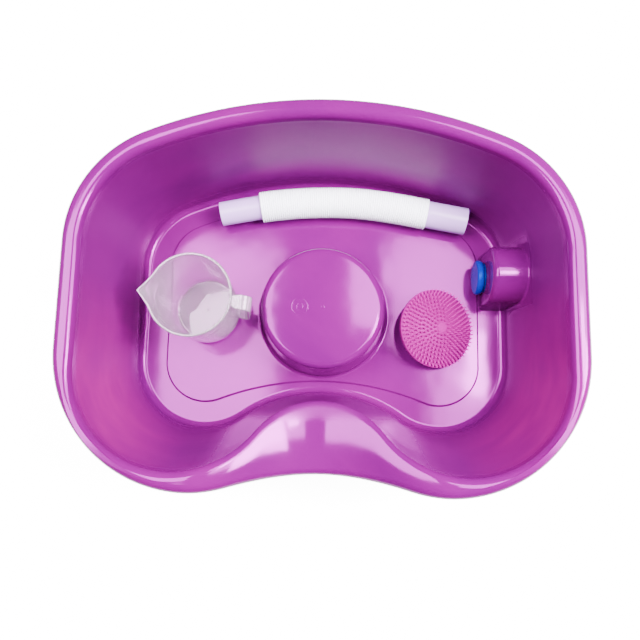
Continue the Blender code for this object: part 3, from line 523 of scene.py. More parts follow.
    def inside(self):
        """The skin that shows, from the skirt over the roll, down the wall and up the middle."""
        b = self.b
        lip = b.wall / 4
        rings = [self.ring(self.rim.inset(lip), self.skirt_z, 1)]
        rings.append(self.ring(self.rim, self.skirt_z + lip, 1))
        rings += self.roll(self.rim, 1, b.roll_radius, spread(0, pi / 2, 9))
        rings += [self.neck_rest(part) for part in spread(0, 1, 14)[1:-1]]
        rings += self.roll(self.mouth, -1, b.roll_radius, spread(pi / 2, 0, 9))
        rings += self.walls(0, spread(1, 0, 8)[1:-1], 9) + self.platform_edge(0)
        bosses, top = self.bosses(0, 6, 8, 12)
        return rings + bosses, top

    def underside(self):
        """The hidden skin, from inside the head support out, up the wall and round the roll."""
        b = self.b
        hollow = b.roll_radius - b.wall
        bosses, top = self.bosses(b.wall, 3, 3, 4)
        rings = bosses[::-1] + self.platform_edge(b.wall)[::-1]
        rings += self.walls(b.wall, spread(1, 0, 4)[1:-1], 5)[::-1]
        rings += self.roll(self.mouth, -1, hollow, spread(0, pi / 2, 5))
        rings += self.roll(self.rim, 1, hollow, spread(pi / 2, 0, 5))
        rings.append(self.ring(self.rim.inset(b.wall), self.skirt_z + b.wall / 4, 1))
        rings.append(self.ring(self.rim.inset(b.wall * 3 / 4), self.skirt_z, 1))
        return rings, top


# Meshes


def loft(rings, start=None, end=None):
    """Joins each ring to the next, and closes either end with a fan to its point or a face."""
    mesh = bmesh.new()
    loops = [[mesh.verts.new(point) for point in ring] for ring in rings]
    number = len(loops[0])
    for near, far in zip(loops, loops[1:]):
        for i in range(number):
            j = (i + 1) % number
            mesh.faces.new((near[i], near[j], far[j], far[i]))
    for loop, point in ((loops[0], start), (loops[-1], end)):
        if point is None:
            mesh.faces.new(loop)
            continue
        tip = mesh.verts.new(point)
        for i in range(number):
            mesh.faces.new((loop[i], loop[(i + 1) % number], tip))
    bmesh.ops.recalc_face_normals(mesh, faces=mesh.faces)
    return mesh


def welded(mesh):
    """Joins a mesh's equal points and turns its faces outwards."""
    bmesh.ops.remove_doubles(mesh, verts=mesh.verts, dist=WELD)
    bmesh.ops.recalc_face_normals(mesh, faces=mesh.faces)
    return mesh


def turned(profile, steps=96):
    """A solid turned about Z from a closed or axis-to-axis profile of (radius, height)."""
    mesh = bmesh.new()
    points = [mesh.verts.new((radius, 0, height)) for radius, height in profile]
    edges = [mesh.edges.new(pair) for pair in zip(points, points[1:])]
    if profile[0][0] > 0:
        edges.append(mesh.edges.new((points[-1], points[0])))
    bmesh.ops.spin(
        mesh, geom=points + edges, cent=(0, 0, 0), axis=(0, 0, 1), angle=2 * pi, steps=steps,
        use_merge=True,
    )
    return welded(mesh)


def drum(radius, low, high):
    """Profile of a plain cylinder."""
    return [(0, low), (radius, low), (radius, high), (0, high)]


def put(name, mesh, finish=None, place=None, smooth_below=40):
    """An object from a bmesh, with its place in its mesh, smooth below an angle in degrees."""
    if place is not None:
        mesh.transform(place)
    data = bpy.data.meshes.new(name)
    mesh.to_mesh(data)
    mesh.free()
    data.shade_smooth()
    data.set_sharp_from_angle(angle=radians(smooth_below))
    thing = bpy.data.objects.new(name, data)
    bpy.context.collection.objects.link(thing)
    if finish:
        data.materials.append(finish)
    return thing


def evaluated(thing):
    """A plain mesh of an object with its modifiers worked out."""
    bpy.context.view_layer.update()
    graph = bpy.context.evaluated_depsgraph_get()
    return bpy.data.meshes.new_from_object(thing.evaluated_get(graph))


def combine(body, other, operation):
    """Joins, cuts or limits a body with another closed mesh, which is used up."""
    change = body.modifiers.new(operation.lower(), "BOOLEAN")
    change.operation = operation
    change.object = other
    change.solver = "EXACT"
    old, body.data = body.data, evaluated(body)
    body.modifiers.clear()
    bpy.data.meshes.remove(old)
    bpy.data.objects.remove(other)
    return body


def finished(thing, body, slot, *nodes, sharp=None):
    """Rides a piece on its body and lets it stand for its CAD nodes. Its slot is not used.

    A sharp angle in degrees shades it smooth again, with large faces leading the normals.
    """
    if sharp:
        thing.data.shade_smooth()
        thing.data.set_sharp_from_angle(angle=radians(sharp))
        thing.modifiers.new("even_normals", "WEIGHTED_NORMAL").keep_sharp = True
    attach(thing, body)
    if nodes:
        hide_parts(*nodes)
    return thing


# Node trees


def titled(name):
    return name.replace("_", " ").title()


class Flow:
    """A node's output. Sums with one add Math nodes to its tree."""

    def __init__(self, tree, socket):
        self.tree, self.socket = tree, socket

    def __add__(self, other):
        return self.tree.math("ADD", self, other)

    def __sub__(self, other):
        return self.tree.math("SUBTRACT", self, other)

    def __rsub__(self, other):
        return self.tree.math("SUBTRACT", other, self)

    def __mul__(self, other):
        return self.tree.math("MULTIPLY", self, other)

    def __truediv__(self, other):
        return self.tree.math("DIVIDE", self, other)

    def __abs__(self):
        return self.tree.math("ABSOLUTE", self)


class Tree:
    """Builds a node tree. Kinds of node without a prefix are of the tree's own sort."""

    def __init__(self, tree):
        self.tree = tree
        self.prefix = tree.bl_idname.removesuffix("Tree")

    def feed(self, socket, value):
        """Links an output to a socket, or sets the socket's own value."""
        if isinstance(value, Flow):
            self.tree.links.new(value.socket, socket)
        else:
            socket.default_value = value

    def node(self, kind, inputs=None, **settings):
        made = self.tree.nodes.new(kind if "Node" in kind else self.prefix + kind)
        for name, value in settings.items():
            setattr(made, name, value)
        for name, value in (inputs or {}).items():
            self.feed(made.inputs[name], value)
        return made

    def out(self, kind, inputs=None, output=0, **settings):
        """One output of a new node."""
        return Flow(self, self.node(kind, inputs, **settings).outputs[output])

    def math(self, operation, first, second=0.0, clamp=False):
        sides = {0: first, 1: second}
        return self.out("ShaderNodeMath", sides, operation=operation, use_clamp=clamp)

    def vector(self, operation, *sides, **scale):
        output = "Value" if operation == "LENGTH" else "Vector"
        inputs = dict(enumerate(sides)) | {titled(name): by for name, by in scale.items()}
        return self.out("ShaderNodeVectorMath", inputs, output, operation=operation)

    def split(self, vector):
        made = self.node("ShaderNodeSeparateXYZ", {"Vector": vector})
        return [Flow(self, socket) for socket in made.outputs]

    def join(self, x=0.0, y=0.0, z=0.0):
        return self.out("ShaderNodeCombineXYZ", {"X": x, "Y": y, "Z": z})

    def pick(self, test, no, yes):
        """One number or the other, by a test of 0 or 1."""
        return test * (yes - no) + no

    def ramp(self, value, low, high, to_low=0.0, to_high=1.0):
        inputs = {
            "Value": value, "From Min": low, "From Max": high, "To Min": to_low, "To Max": to_high
        }
        return self.out("ShaderNodeMapRange", inputs, clamp=True)

    def mix(self, factor, first, second):
        """A colour between two others."""
        return self.out("Mix", {0: factor, 6: first, 7: second}, 2, data_type="RGBA")

    def on_object(self):
        return self.out("TexCoord", output="Object")

    def dressed(self, shape, finish):
        """The end of a shape: real geometry in its finish."""
        real = self.out("RealizeInstances", {"Geometry": shape})
        return self.out("SetMaterial", {"Geometry": real, "Material": finish})


class Surface(Tree):
    """The node tree of a material with a Principled shader."""

    def __init__(self, made):
        made.use_nodes = True
        super().__init__(made.node_tree)
        self.sockets = made.node_tree.nodes["Principled BSDF"].inputs

    def so_far(self, name):
        """What feeds a socket of the shader."""
        return Flow(self, self.sockets[name].links[0].from_socket)


INPUT_SORTS = {
    float: "Float", int: "Int", tuple: "Color", bpy.types.Material: "Material",
    type(None): "Geometry",
}
OUTPUT_SORTS = {"VALUE": "Float", "RGBA": "Color", "VECTOR": "Vector", "GEOMETRY": "Geometry"}


def group(fill, kind, inputs):
    """A node group with named inputs, filled by a function that returns its named outputs."""
    tree = bpy.data.node_groups.new(fill.__name__, kind)

    def socket(title, way, sort):
        return tree.interface.new_socket(title, in_out=way, socket_type="NodeSocket" + sort)

    for name, value in inputs.items():
        made = socket(titled(name), "INPUT", INPUT_SORTS[type(value)])
        if isinstance(value, (float, int, tuple)):
            made.default_value = value
    t = Tree(tree)
    source = t.node("NodeGroupInput").outputs
    given = {name: Flow(t, source[titled(name)]) for name in inputs}
    outputs = fill(t, SimpleNamespace(**given))
    for title, value in outputs.items():
        socket(title, "OUTPUT", OUTPUT_SORTS[value.socket.type])
    t.node("NodeGroupOutput", outputs)
    return tree


def effect(fill, **inputs):
    """A shader group that more than one finish uses, made once."""
    made = bpy.data.node_groups.get(fill.__name__)
    return made or group(fill, "ShaderNodeTree", inputs)


def grow(fill, values, start=None):
    """A plain mesh from a Geometry Nodes tree with named inputs, run on a path or on nothing."""
    name = fill.__name__ + "_nodes"
    if start:
        values = {"path": None, **values}
    holder = bpy.data.objects.new(name, start or bpy.data.meshes.new(name))
    bpy.context.collection.objects.link(holder)
    modifier = holder.modifiers.new(name, "NODES")
    modifier.node_group = group(fill, "GeometryNodeTree", values)
    given = {titled(title): value for title, value in values.items() if value is not None}
    for socket in modifier.node_group.interface.items_tree:
        if socket.in_out == "INPUT" and socket.name in given:
            modifier[socket.identifier] = given[socket.name]
    data = evaluated(holder)
    holder.modifiers.clear()
    bpy.data.objects.remove(holder)
    return data


def whole(name, data, smooth_below):
    """An object from a grown mesh, with its points welded and its finishes kept."""
    mesh = bmesh.new()
    mesh.from_mesh(data)
    finishes = list(data.materials)
    bpy.data.meshes.remove(data)
    thing = put(name, welded(mesh), smooth_below=smooth_below)
    for finish in finishes:
        thing.data.materials.append(finish)
    return thing


# Finishes


def moulded_relief(t, given):
    """Bumps of a moulded face: long soft waves from cooling, and a fine grain from the mould."""
    place = t.on_object()
    soft = {"Vector": place, "Scale": given.wave_scale, "Detail": 2.0, "Roughness": 0.4}
    fine = {"Vector": place, "Scale": given.grain_scale, "Detail": 1.0}
    normal = t.out("Bump", {
        "Strength": 1.0, "Distance": given.grain_height, "Height": t.out("TexNoise", fine),
    })
    return {"Normal": t.out("Bump", {
        "Strength": 1.0, "Distance": given.wave_height, "Height": t.out("TexNoise", soft),
        "Normal": normal,
    })}


def handling_marks(t, given):
    """Faint rubbed patches and hairline scratches of a piece that has been handled."""
    place = t.on_object()
    noise = {"Vector": place, "Scale": given.patch_scale}
    patches = t.out("TexNoise", {**noise, "Detail": 3.0})
    bent = t.out("TexNoise", {**noise, "Detail": 1.0}, "Color")
    moved = t.vector("ADD", place, t.vector("SCALE", bent, scale=0.05))
    cells = {"Vector": moved, "Scale": given.scratch_scale}
    line = t.ramp(t.out("TexVoronoi", cells, feature="DISTANCE_TO_EDGE"), 0.0, 0.012, 1.0, 0.0)
    return {
        "Rubbed": t.ramp(patches, 0.45, 0.75),
        "Scratched": line * t.ramp(patches, 0.5, 0.62),
    }


def pearl_clouds(t, given):
    """Soft clouds between two tints, as the pearly pigment flows in the mould."""
    stretch = t.out("Mapping", {"Vector": t.on_object(), "Scale": (1.0, 1.0, 2.2)})
    clouds = t.out("TexNoise", {
        "Vector": stretch, "Scale": given.scale, "Detail": 4.0, "Roughness": 0.55,
        "Distortion": 0.6,
    })
    return {"Colour": t.mix(t.ramp(clouds, 0.3, 0.7), given.deep, given.bright)}


def plastic(
    name, deep, bright, roughness, rub=0.12, clouds=6.0, waves=(14.0, 0.0004),
    grain=(900.0, 0.00001), **constants,
):
    """A moulded plastic or rubber: two-tone clouds, waves, grain and handling marks.

    Waves and grain are each a scale and a height. Constants are the shader's own sockets.
    """
    made = bpy.data.materials.new(name)
    made.diffuse_color = (*bright, 1)
    t = Surface(made)
    tints = t.out(
        "Group", {"Scale": clouds, "Deep": (*deep, 1), "Bright": (*bright, 1)}, "Colour",
        node_tree=effect(pearl_clouds, scale=6.0, deep=(0, 0, 0, 1), bright=(1, 1, 1, 1)),
    )
    marks = t.node("Group", node_tree=effect(handling_marks, patch_scale=9.0, scratch_scale=60.0))
    rubbed, scratched = (Flow(t, marks.outputs[title]) for title in ("Rubbed", "Scratched"))
    relief = t.out(
        "Group",
        {
            "Wave Scale": waves[0], "Wave Height": waves[1],
            "Grain Scale": grain[0], "Grain Height": grain[1],
        },
        "Normal",
        node_tree=effect(
            moulded_relief, wave_scale=14.0, wave_height=0.0004, grain_scale=900.0,
            grain_height=0.00001,
        ),
    )
    worn = rubbed * (rub * 0.5) + scratched * (rub * 2)
    t.feed(t.sockets["Base Color"], tints)
    t.feed(t.sockets["Roughness"], t.math("ADD", worn, roughness, clamp=True))
    t.feed(t.sockets["Normal"], relief)
    for title, value in constants.items():
        t.sockets[titled(title).replace("Ior", "IOR")].default_value = value
    return made


def tint(colour, by):
    return tuple(min(1, channel * by) for channel in colour)


# Basin


def pocket_ring(b, x, inset):
    """The pocket's outline: drafted sides under a round top, at an X that may change with Z."""
    radius = b.pocket_half - inset
    spring = b.pocket_top - b.pocket_half
    sides = [
        (radius + b.pocket_draft * part, spring + (-OVERRUN - spring) * part)
        for part in spread(0, 1, 7)[1:]
    ]
    ring = [(b.pocket_y - out, z) for out, z in sides]
    ring += [(b.pocket_y + out, z) for out, z in reversed(sides)]
    ring += arc((b.pocket_y, spring), radius, 0, pi, 28) + [(b.pocket_y - radius, spring)]
    return [Vector((x(z), y, z)) for y, z in ring]


def face_rings(face, edge, inset, steps):
    """Places and insets of the rings round the pocket's face."""
    for angle in spread(pi / 2, 0, steps):
        yield face + edge * (1 - sin(angle)), inset + edge * (1 - cos(angle))


def pocket_bulge(b, form):
    """The pocket's bulge into the basin, with a rounded face and a flare at the wall."""
    foot, foot_z = form.fillet(0)
    lean = (form.mouth.half_width - foot.half_width) / (form.roll_z - foot_z)

    def along_wall(back):
        return lambda z: foot.half_width + lean * (z - foot_z) - back

    places = face_rings(form.pocket_face, b.pocket_edge, 0, 7)
    loops = [pocket_ring(b, lambda z, x=x: x, inset) for x, inset in places]
    for angle in spread(0, pi / 2, 7):
        back, out = b.pocket_flare * (1 - sin(angle)), b.pocket_flare * (1 - cos(angle))
        loops.append(pocket_ring(b, along_wall(back), -out))
    loops.append(pocket_ring(b, along_wall(-b.wall / 2), -b.pocket_flare - b.wall / 2))
    return put("pocket_bulge", loft(loops))


def pocket_cut(b, form):
    """The hollow behind the pocket's face, run out past the wall."""
    places = list(face_rings(form.pocket_face + b.wall, b.pocket_edge - b.wall, b.wall, 5))
    places.append((b.half_width + OVERRUN, b.wall))
    return put("pocket_cut", loft([pocket_ring(b, lambda z, x=x: x, i) for x, i in places]))


def basin_hollow(b, form):
    """The basin's hollow, grown half a wall into the material, to limit the pocket's bulge."""
    depth = b.wall / 2
    foot, foot_z = form.fillet(depth)
    top = b.pocket_top + 4 * OVERRUN
    part = (top - foot_z) / (form.roll_z - foot_z)
    loops = [form.ring(foot.towards(form.mouth.inset(-depth), part), top)]
    return put("basin_hollow", loft(loops + form.walls(depth, (), 9)))


def mould_marks(b, form, finish):
    """The gate's scar and a plain round ejector mark, a hair above the head support's top."""
    rise = 0.00012
    for name, x, radius, width in (
        ("gate_scar", 0, b.gate_radius, b.gate_radius * 0.45),
        ("mould_ring", b.mark_x, b.mark_radius, b.mark_radius * 0.13),
        ("mould_dot", b.mark_x, b.mark_radius * 0.42, b.mark_radius * 0.10),
    ):
        low, half = radius - width, width / 2
        profile = [(low, -2 * rise), (radius, -2 * rise)]
        profile += [(low + half + half * cos(a), rise * sin(a)) for a in spread(0, pi, 6)]
        mesh = turned(profile, 64)
        for vert in mesh.verts:
            vert.co += Vector((x, b.boss_y, 0))
            vert.co.z += form.dome_height(vert.co.x, vert.co.y)
        finished(put(name, mesh, finish, smooth_below=80), "basin", "basin")


def corner_glow(made, b):
    """Paints a brighter, pinker glow onto the wall of the front corners, as light coming through the
    thin moulding would give: painted light, not the plastic's own colour.
    """
    t = Surface(made)
    x, y, z = t.split(t.on_object())
    aside = t.ramp(abs(x), b.half_width * 0.55, b.half_width * 0.82)
    ahead = t.ramp(y, b.back * 0.1, b.front * 0.45)
    high = t.ramp(z, b.floor_fillet, b.height * 0.45)
    below = t.ramp(z, b.height - b.roll_radius * 2, b.height - b.roll_radius / 2, 1.0, 0.15)
    cloud = t.ramp(t.out("TexNoise", {"Scale": 7.0, "Detail": 2.0}), 0.3, 0.65, 0.55, 1.0)
    # Where the painted glow lies: the upper walls of the front corners, in soft clouds
    mask = aside * ahead * (high * below) * cloud
    t.feed(t.sockets["Base Color"], t.mix(mask, t.so_far("Base Color"), (*b.glow, 1)))


def soften_walls(made, b):
    """Leaves the walls less glossy than the rim, floor, neck's slope and head support."""
    t = Surface(made)
    x, y, z = t.split(t.on_object())
    up = t.ramp(z, b.floor_fillet, b.floor_fillet * 4)
    under_rim = t.ramp(z, b.height - b.roll_radius * 2, b.height - b.roll_radius, 1.0, 0.0)
    outward = t.ramp(t.vector("LENGTH", t.join(x, y)), b.boss_foot * 1.2, b.boss_foot * 1.5)
    wide, soft = b.pocket_half + b.pocket_draft, 4 * b.pocket_flare
    off_side = t.ramp(abs(y - b.pocket_y), wide, wide + soft)
    off_top = t.ramp(z, b.pocket_top, b.pocket_top + soft)
    off_pocket = t.math("MAXIMUM", off_side, off_top)
    off_pocket = t.math("MAXIMUM", off_pocket, t.math("LESS_THAN", x, 0.0))
    aside = t.ramp(abs(x), b.neck_half * 0.72, b.neck_half * 0.95)
    off_neck = t.math("MAXIMUM", aside, t.ramp(y, b.front * 0.66, b.front * 0.6))
    mask = up * under_rim * outward * off_pocket * off_neck
    t.feed(t.sockets["Roughness"], t.so_far("Roughness") + mask * b.wall_haze)


class BASIN_OT_shell(Operator):
    """Lofts the basin from its rolled rim to its head support and joins its outlet pocket"""

    bl_idname = "basin.shell"
    bl_label = "Basin Shell"

    def execute(self, context):
        b = context.scene.shampoo_basin
        o = context.scene.basin_outlet
        finish = plastic(
            "pearly_magenta", b.deep, b.bright, roughness=0.11, rub=0.03, clouds=5.0,
            waves=(15.0, 0.0008), grain=(700.0, 0.000008), ior=1.5, specular_tint=(*b.sheen, 1),
        )
        # Painted light: a glow painted into the walls of the front corners
        corner_glow(finish, b)
        soften_walls(finish, b)
        form = BasinForm(b)
        skin, top = form.inside()
        hidden, under = form.underside()
        shell = put("basin_moulding", loft(skin[::-1] + hidden[::-1], top, under), finish)
        bulge = combine(pocket_bulge(b, form), basin_hollow(b, form), "INTERSECT")
        combine(shell, bulge, "UNION")
        combine(shell, pocket_cut(b, form), "DIFFERENCE")
        hole = turned(drum(o.radius + o.running_gap, 0, 2 * b.pocket_reach))
        place = along_x(o, form.pocket_face - OVERRUN)
        combine(shell, put("outlet_hole", hole, place=place), "DIFFERENCE")
        finished(shell, "basin", "basin", "basin_shell", sharp=35)
        mould_marks(b, form, finish)
        return {"FINISHED"}


# Outlet and stopper, turned about Z and then laid along X


def along_x(o, x):
    """Lays a turned piece on the outlet's axis, its own +Z along the basin's +X."""
    return Matrix.Translation((x, o.y, o.height)) @ Matrix.Rotation(pi / 2, 4, "Y")


def spigot_thread(t, given):
    """A screw thread: a pointed ridge swept along a helix."""
    helix = t.out("CurveSpiral", {
        "Resolution": 64, "Rotations": given.turns, "Start Radius": given.radius,
        "End Radius": given.radius, "Height": given.pitch * given.turns,
    })
    ridge = t.out("CurvePrimitiveCircle", {"Resolution": 6, "Radius": given.rise})
    swept = {"Curve": helix, "Profile Curve": ridge, "Fill Caps": True}
    return {"Shape": t.dressed(t.out("CurveToMesh", swept), given.finish)}


class BASIN_OT_outlet(Operator):
    """Turns the threaded spigot, the washer and the nut that hold the outlet in the pocket"""

    bl_idname = "basin.outlet"
    bl_label = "Outlet"

    def execute(self, context):
        b = context.scene.shampoo_basin
        o = context.scene.basin_outlet
        face = BasinForm(b).pocket_face
        navy = plastic(
            "outlet_blue", tint(o.navy, 0.85), o.navy, roughness=0.24, clouds=30.0,
            waves=(60.0, 0.0001), specular_tint=(0.05, 0.35, 1.0, 1),
        )
        black = plastic(
            "washer_black", o.black, tint(o.black, 1.6), roughness=0.6, clouds=60.0,
            waves=(200.0, 0.0001), grain=(2500.0, 0.00003), specular_ior_level=0.3,
        )
        self.spigot(o, face, navy)
        self.washer(o, face + b.wall + SEAT_GAP, black)
        self.nut(o, face + b.wall + 2 * SEAT_GAP + o.washer_thick, navy)
        return {"FINISHED"}

    def spigot(self, o, face, finish):
        edge = o.wall / 4
        inner, outer = o.radius - o.wall + edge, o.flange_radius - edge
        thick, root = o.flange_thick, o.radius - o.thread_rise
        end = thick + o.reach
        # Shares of the length: where the thread ends, where the two barbs start, and their run
        thread_end, barbs, barb_run = 0.62, (0.66, 0.80), 0.12
        profile = rounded((inner, edge), edge, 180, 270)
        profile += rounded((outer, edge), edge, -90, 0)
        profile += rounded((outer, thick - edge), edge, 0, 90)
        profile += [(root, thick), (root, end * thread_end)]
        for part in barbs:
            profile.append((o.radius, end * part))
            profile.append((o.radius - 2 * o.thread_rise, end * (part + barb_run)))
        profile += rounded((o.radius - 2 * edge, end - edge), edge, 0, 90)
        profile += rounded((inner, end - edge), edge, 90, 180)
        place = along_x(o, face - SEAT_GAP - thick)
        spigot = put("threaded_spigot", turned(profile), finish, place)
        finished(spigot, "basin", "outlet", "outlet_spigot", sharp=30)
        data = grow(spigot_thread, {
            "radius": root, "rise": o.thread_rise, "pitch": o.thread_pitch,
            "turns": float(o.thread_turns), "finish": finish,
        })
        data.transform(place @ Matrix.Translation((0, 0, thick + o.thread_pitch / 2)))
        finished(whole("spigot_thread", data, 60), "basin", "outlet")

    def washer(self, o, x, finish):
        edge = o.washer_thick / 3
        inner, outer = o.radius + o.running_gap + edge, o.washer_radius - edge
        far = o.washer_thick - edge
        profile = rounded((inner, edge), edge, 180, 270) + rounded((outer, edge), edge, 270, 360)
        profile += rounded((outer, far), edge, 0, 90) + rounded((inner, far), edge, 90, 180)
        washer = put("rubber_washer", turned(profile), finish, along_x(o, x))
        finished(washer, "basin", "washer", "outlet_washer", sharp=60)

    def nut(self, o, x, finish):
        """Six-sided nut with chamfered corners and a turned hole."""
        corner, thick = o.nut_flats / cos(pi / 6), o.nut_thick
        mesh = bmesh.new()
        bmesh.ops.create_cone(
            mesh, cap_ends=True, segments=6, radius1=corner, radius2=corner, depth=thick,
            matrix=Matrix.Translation((0, 0, thick / 2)),
        )
        bmesh.ops.bevel(
            mesh, geom=mesh.edges[:], offset=o.wall / 4, segments=3, profile=0.6, affect="EDGES"
        )
        nut = put("flange_nut", mesh, finish)
        chamfer = o.nut_flats * 1.03
        rim = (corner - chamfer) * 0.55
        limit = [(0, 0), (chamfer, 0), (corner, rim)]
        limit += [(radius, thick - z) for radius, z in reversed(limit)]
        combine(nut, put("nut_drum", turned(limit)), "INTERSECT")
        hole = drum(o.radius + o.running_gap, -OVERRUN, 3 * OVERRUN)
        combine(nut, put("nut_hole", turned(hole)), "DIFFERENCE")
        nut.data.transform(along_x(o, x))
        finished(nut, "basin", "outlet", "outlet_nut", sharp=25)


class BASIN_OT_stopper(Operator):
    """Turns the soft blue stopper with its hollow shank in the outlet's bore"""

    bl_idname = "basin.stopper"
    bl_label = "Stopper"

    def execute(self, context):
        o = context.scene.basin_outlet
        finish = plastic(
            "stopper_blue", tint(o.blue, 0.85), tint(o.blue, 1.2), roughness=0.26, clouds=22.0,
            waves=(70.0, 0.00015), grain=(1500.0, 0.00001), specular_ior_level=0.3,
            specular_tint=(0.05, 0.35, 1.0, 1),
        )
        shank = o.radius - o.wall - SEAT_GAP
        cap, edge, lip = o.stopper_thick, o.stopper_edge, o.shank_wall / 3
        end = cap + o.shank_length
        corner, narrow = o.stopper_radius - edge, shank - o.shank_taper
        profile = [(0, 0), (corner * 0.5, 0)]
        profile += rounded((corner, edge), edge, -90, 0, 10)
        profile += rounded((corner, cap - edge), edge, 0, 90, 8)
        profile += [(shank + lip, cap), (shank, cap + lip)]
        profile += rounded((narrow - lip, end - lip), lip, 0, 90)
        profile += rounded((narrow - o.shank_wall + lip, end - lip), lip, 90, 180)
        profile += [(shank - o.shank_wall, cap), (0, cap)]
        face = BasinForm(context.scene.shampoo_basin).pocket_face
        place = along_x(o, face - 2 * SEAT_GAP - o.flange_thick - cap)
        stopper = put("soft_stopper", turned(profile), finish, place)
        finished(stopper, "stopper", "stopper", "drain_stopper", sharp=50)
        return {"FINISHED"}


# Drain hose


def ribbed_hose(t, given):
    """A ribbed tube with plain ends: a grid wrapped along a path, outside there, inside back."""
    total = t.out("CurveLength", {"Curve": given.path})
    pitch = (total - (given.left_length + given.right_length)) / given.ribs
    step = pitch / given.steps
    rows = t.math("ROUND", total / step)
    laps = rows * 2.0
    grid = t.out("MeshGrid", {
        "Size X": 1.0, "Size Y": 1.0, "Vertices X": laps + 1.0, "Vertices Y": given.sides + 1.0,
    })
    x, y, _ = t.split(t.out("InputPosition"))
    # Keeps the first row from falling before 0, and how flat the grooves between the ribs are
    nudge, flatness = 0.25, 0.8
    lap = t.math("MODULO", (x + 0.5) * laps + nudge, laps) - nudge
    inner = t.math("GREATER_THAN", lap, rows - 0.5)
    last = rows - 1.0
    along = t.pick(inner, lap / last, 1.0 - (lap - rows) / last) * total
    kept = t.out(
        "StoreNamedAttribute", {"Geometry": grid, "Name": "along", "Value": along},
        data_type="FLOAT", domain="POINT",
    )
    right_start = total - given.right_length
    on_left = t.math("LESS_THAN", along, given.left_length - step * 0.5)
    on_right = t.math("GREATER_THAN", along, right_start + step * 0.5)
    phase = (along - given.left_length) / pitch
    wave = 0.5 - t.math("COSINE", phase * (2 * pi)) * 0.5
    rib = t.pick(t.math("POWER", wave, flatness), given.groove, given.rib)
    radius = t.pick(on_left, t.pick(inner, rib, given.groove), given.left_radius)
    radius = t.pick(on_right, radius, given.right_radius) - inner * given.wall
    sample = t.node("SampleCurve", {"Curves": given.path, "Length": along}, mode="LENGTH")
    centre, tangent = (Flow(t, sample.outputs[name]) for name in ("Position", "Tangent"))
    side = t.vector("NORMALIZE", t.vector("CROSS_PRODUCT", (0.0, 0.0, 1.0), tangent))
    angle = (y + 0.5) * (2 * pi)
    sideways = t.vector("SCALE", side, scale=radius * t.math("COSINE", angle))
    out = t.vector("ADD", sideways, t.join(z=radius * t.math("SINE", angle)))
    place = t.vector("ADD", centre, out)
    wrapped = t.out("SetPosition", {"Geometry": kept, "Position": place})
    tube = t.out("MergeByDistance", {"Geometry": wrapped, "Distance": WELD})
    spot = t.out("InputNamedAttribute", {"Name": "along"}, data_type="FLOAT")
    at_left = t.math("LESS_THAN", spot, given.left_length)
    at_end = at_left + t.math("GREATER_THAN", spot, right_start)
    body = t.dressed(tube, given.ribbed)
    return {"Shape": t.out("SetMaterial", {
        "Geometry": body, "Selection": at_end, "Material": given.ends,
    })}


class BASIN_OT_hose(Operator):
    """Sweeps the ribbed drain hose along the floor behind the head support"""

    bl_idname = "basin.hose"
    bl_label = "Drain Hose"

    def execute(self, context):
        h = context.scene.drain_hose
        height = BasinForm(context.scene.shampoo_basin).platform_z + SEAT_GAP + h.rib
        route = [
            Vector((round(HOSE_START + HOSE_STEP * i, 4), y, height))
            for i, y in enumerate(HOSE_BOW)
        ]
        line = bpy.data.curves.new("hose_path", "CURVE")
        line.dimensions = "3D"
        spline = line.splines.new("BEZIER")
        spline.bezier_points.add(len(route) - 1)
        for point, place in zip(spline.bezier_points, route):
            point.co = place
            point.handle_left_type = point.handle_right_type = "AUTO"
        ribbed = plastic(
            "hose_white", tint(h.white, 0.95), h.white, roughness=0.38, clouds=26.0,
            waves=(60.0, 0.00004), grain=(1800.0, 0.000004),
        )
        ends = plastic(
            "hose_end", tint(h.grey, 0.92), h.grey, roughness=0.3, clouds=26.0,
            waves=(60.0, 0.00015), grain=(1800.0, 0.000004), transmission_weight=0.3, ior=1.45,
        )
        sizes = (
            "ribs", "steps", "sides", "rib", "groove", "left_radius", "right_radius",
            "left_length", "right_length", "wall",
        )
        values = {name: getattr(h, name) for name in sizes}
        data = grow(ribbed_hose, {**values, "ribbed": ribbed, "ends": ends}, line)
        hose = finished(whole("ribbed_hose", data, 80), "hose", "hose", "drain_hose")
        return {"FINISHED"}


# Measuring jug


def jug_radius(j, z):
    """Outer radius of the jug's tapered body at a height above its base."""
    return j.base + (j.rim - j.base) * z / j.height


def jug_profile(j):
    """Outside from the gate's dot under the base to the rim's bead, then back down inside."""
    low, top = j.foot_height, j.height
    corner = jug_radius(j, low) - j.fillet
    edge, dot, lip = j.foot_width / 4, j.foot_width / 2, j.wall / 2
    inner_foot = j.foot_radius - j.foot_width
    bead_z, bead = top - j.bead_height, j.bead_height / 2
    start = top - j.spout_drop
    levels = spread(low + 2 * j.fillet, start, 8) + spread(start, bead_z - j.bead, 12)[1:]
    profile = [(0, low - edge / 2), (dot, low - edge / 2), (dot + edge / 2, low)]
    profile += [(inner_foot, low)] + rounded((inner_foot + edge, edge), edge, 180, 270)
    profile += rounded((j.foot_radius - edge, edge), edge, -90, 0) + [(j.foot_radius, low)]
    profile += rounded((corner, low + j.fillet), j.fillet, -90, 0, 10)
    profile += [(jug_radius(j, z), z) for z in levels]
    for angle in map(radians, spread(-80, 90, 8)):
        out = jug_radius(j, bead_z) + j.bead * cos(angle)
        profile.append((out, bead_z + bead + bead * sin(angle)))
    profile += rounded((jug_radius(j, top) - j.wall + lip, top - lip), lip, 100, 180)
    profile += [(jug_radius(j, z) - j.wall, z) for z in reversed(levels)]
    profile += rounded((corner, low + j.fillet), j.fillet - j.wall, 0, -90, 8)
    base = low + j.wall
    return profile + [(dot + edge, base), (dot, base + edge / 2), (0, base + edge / 2)]


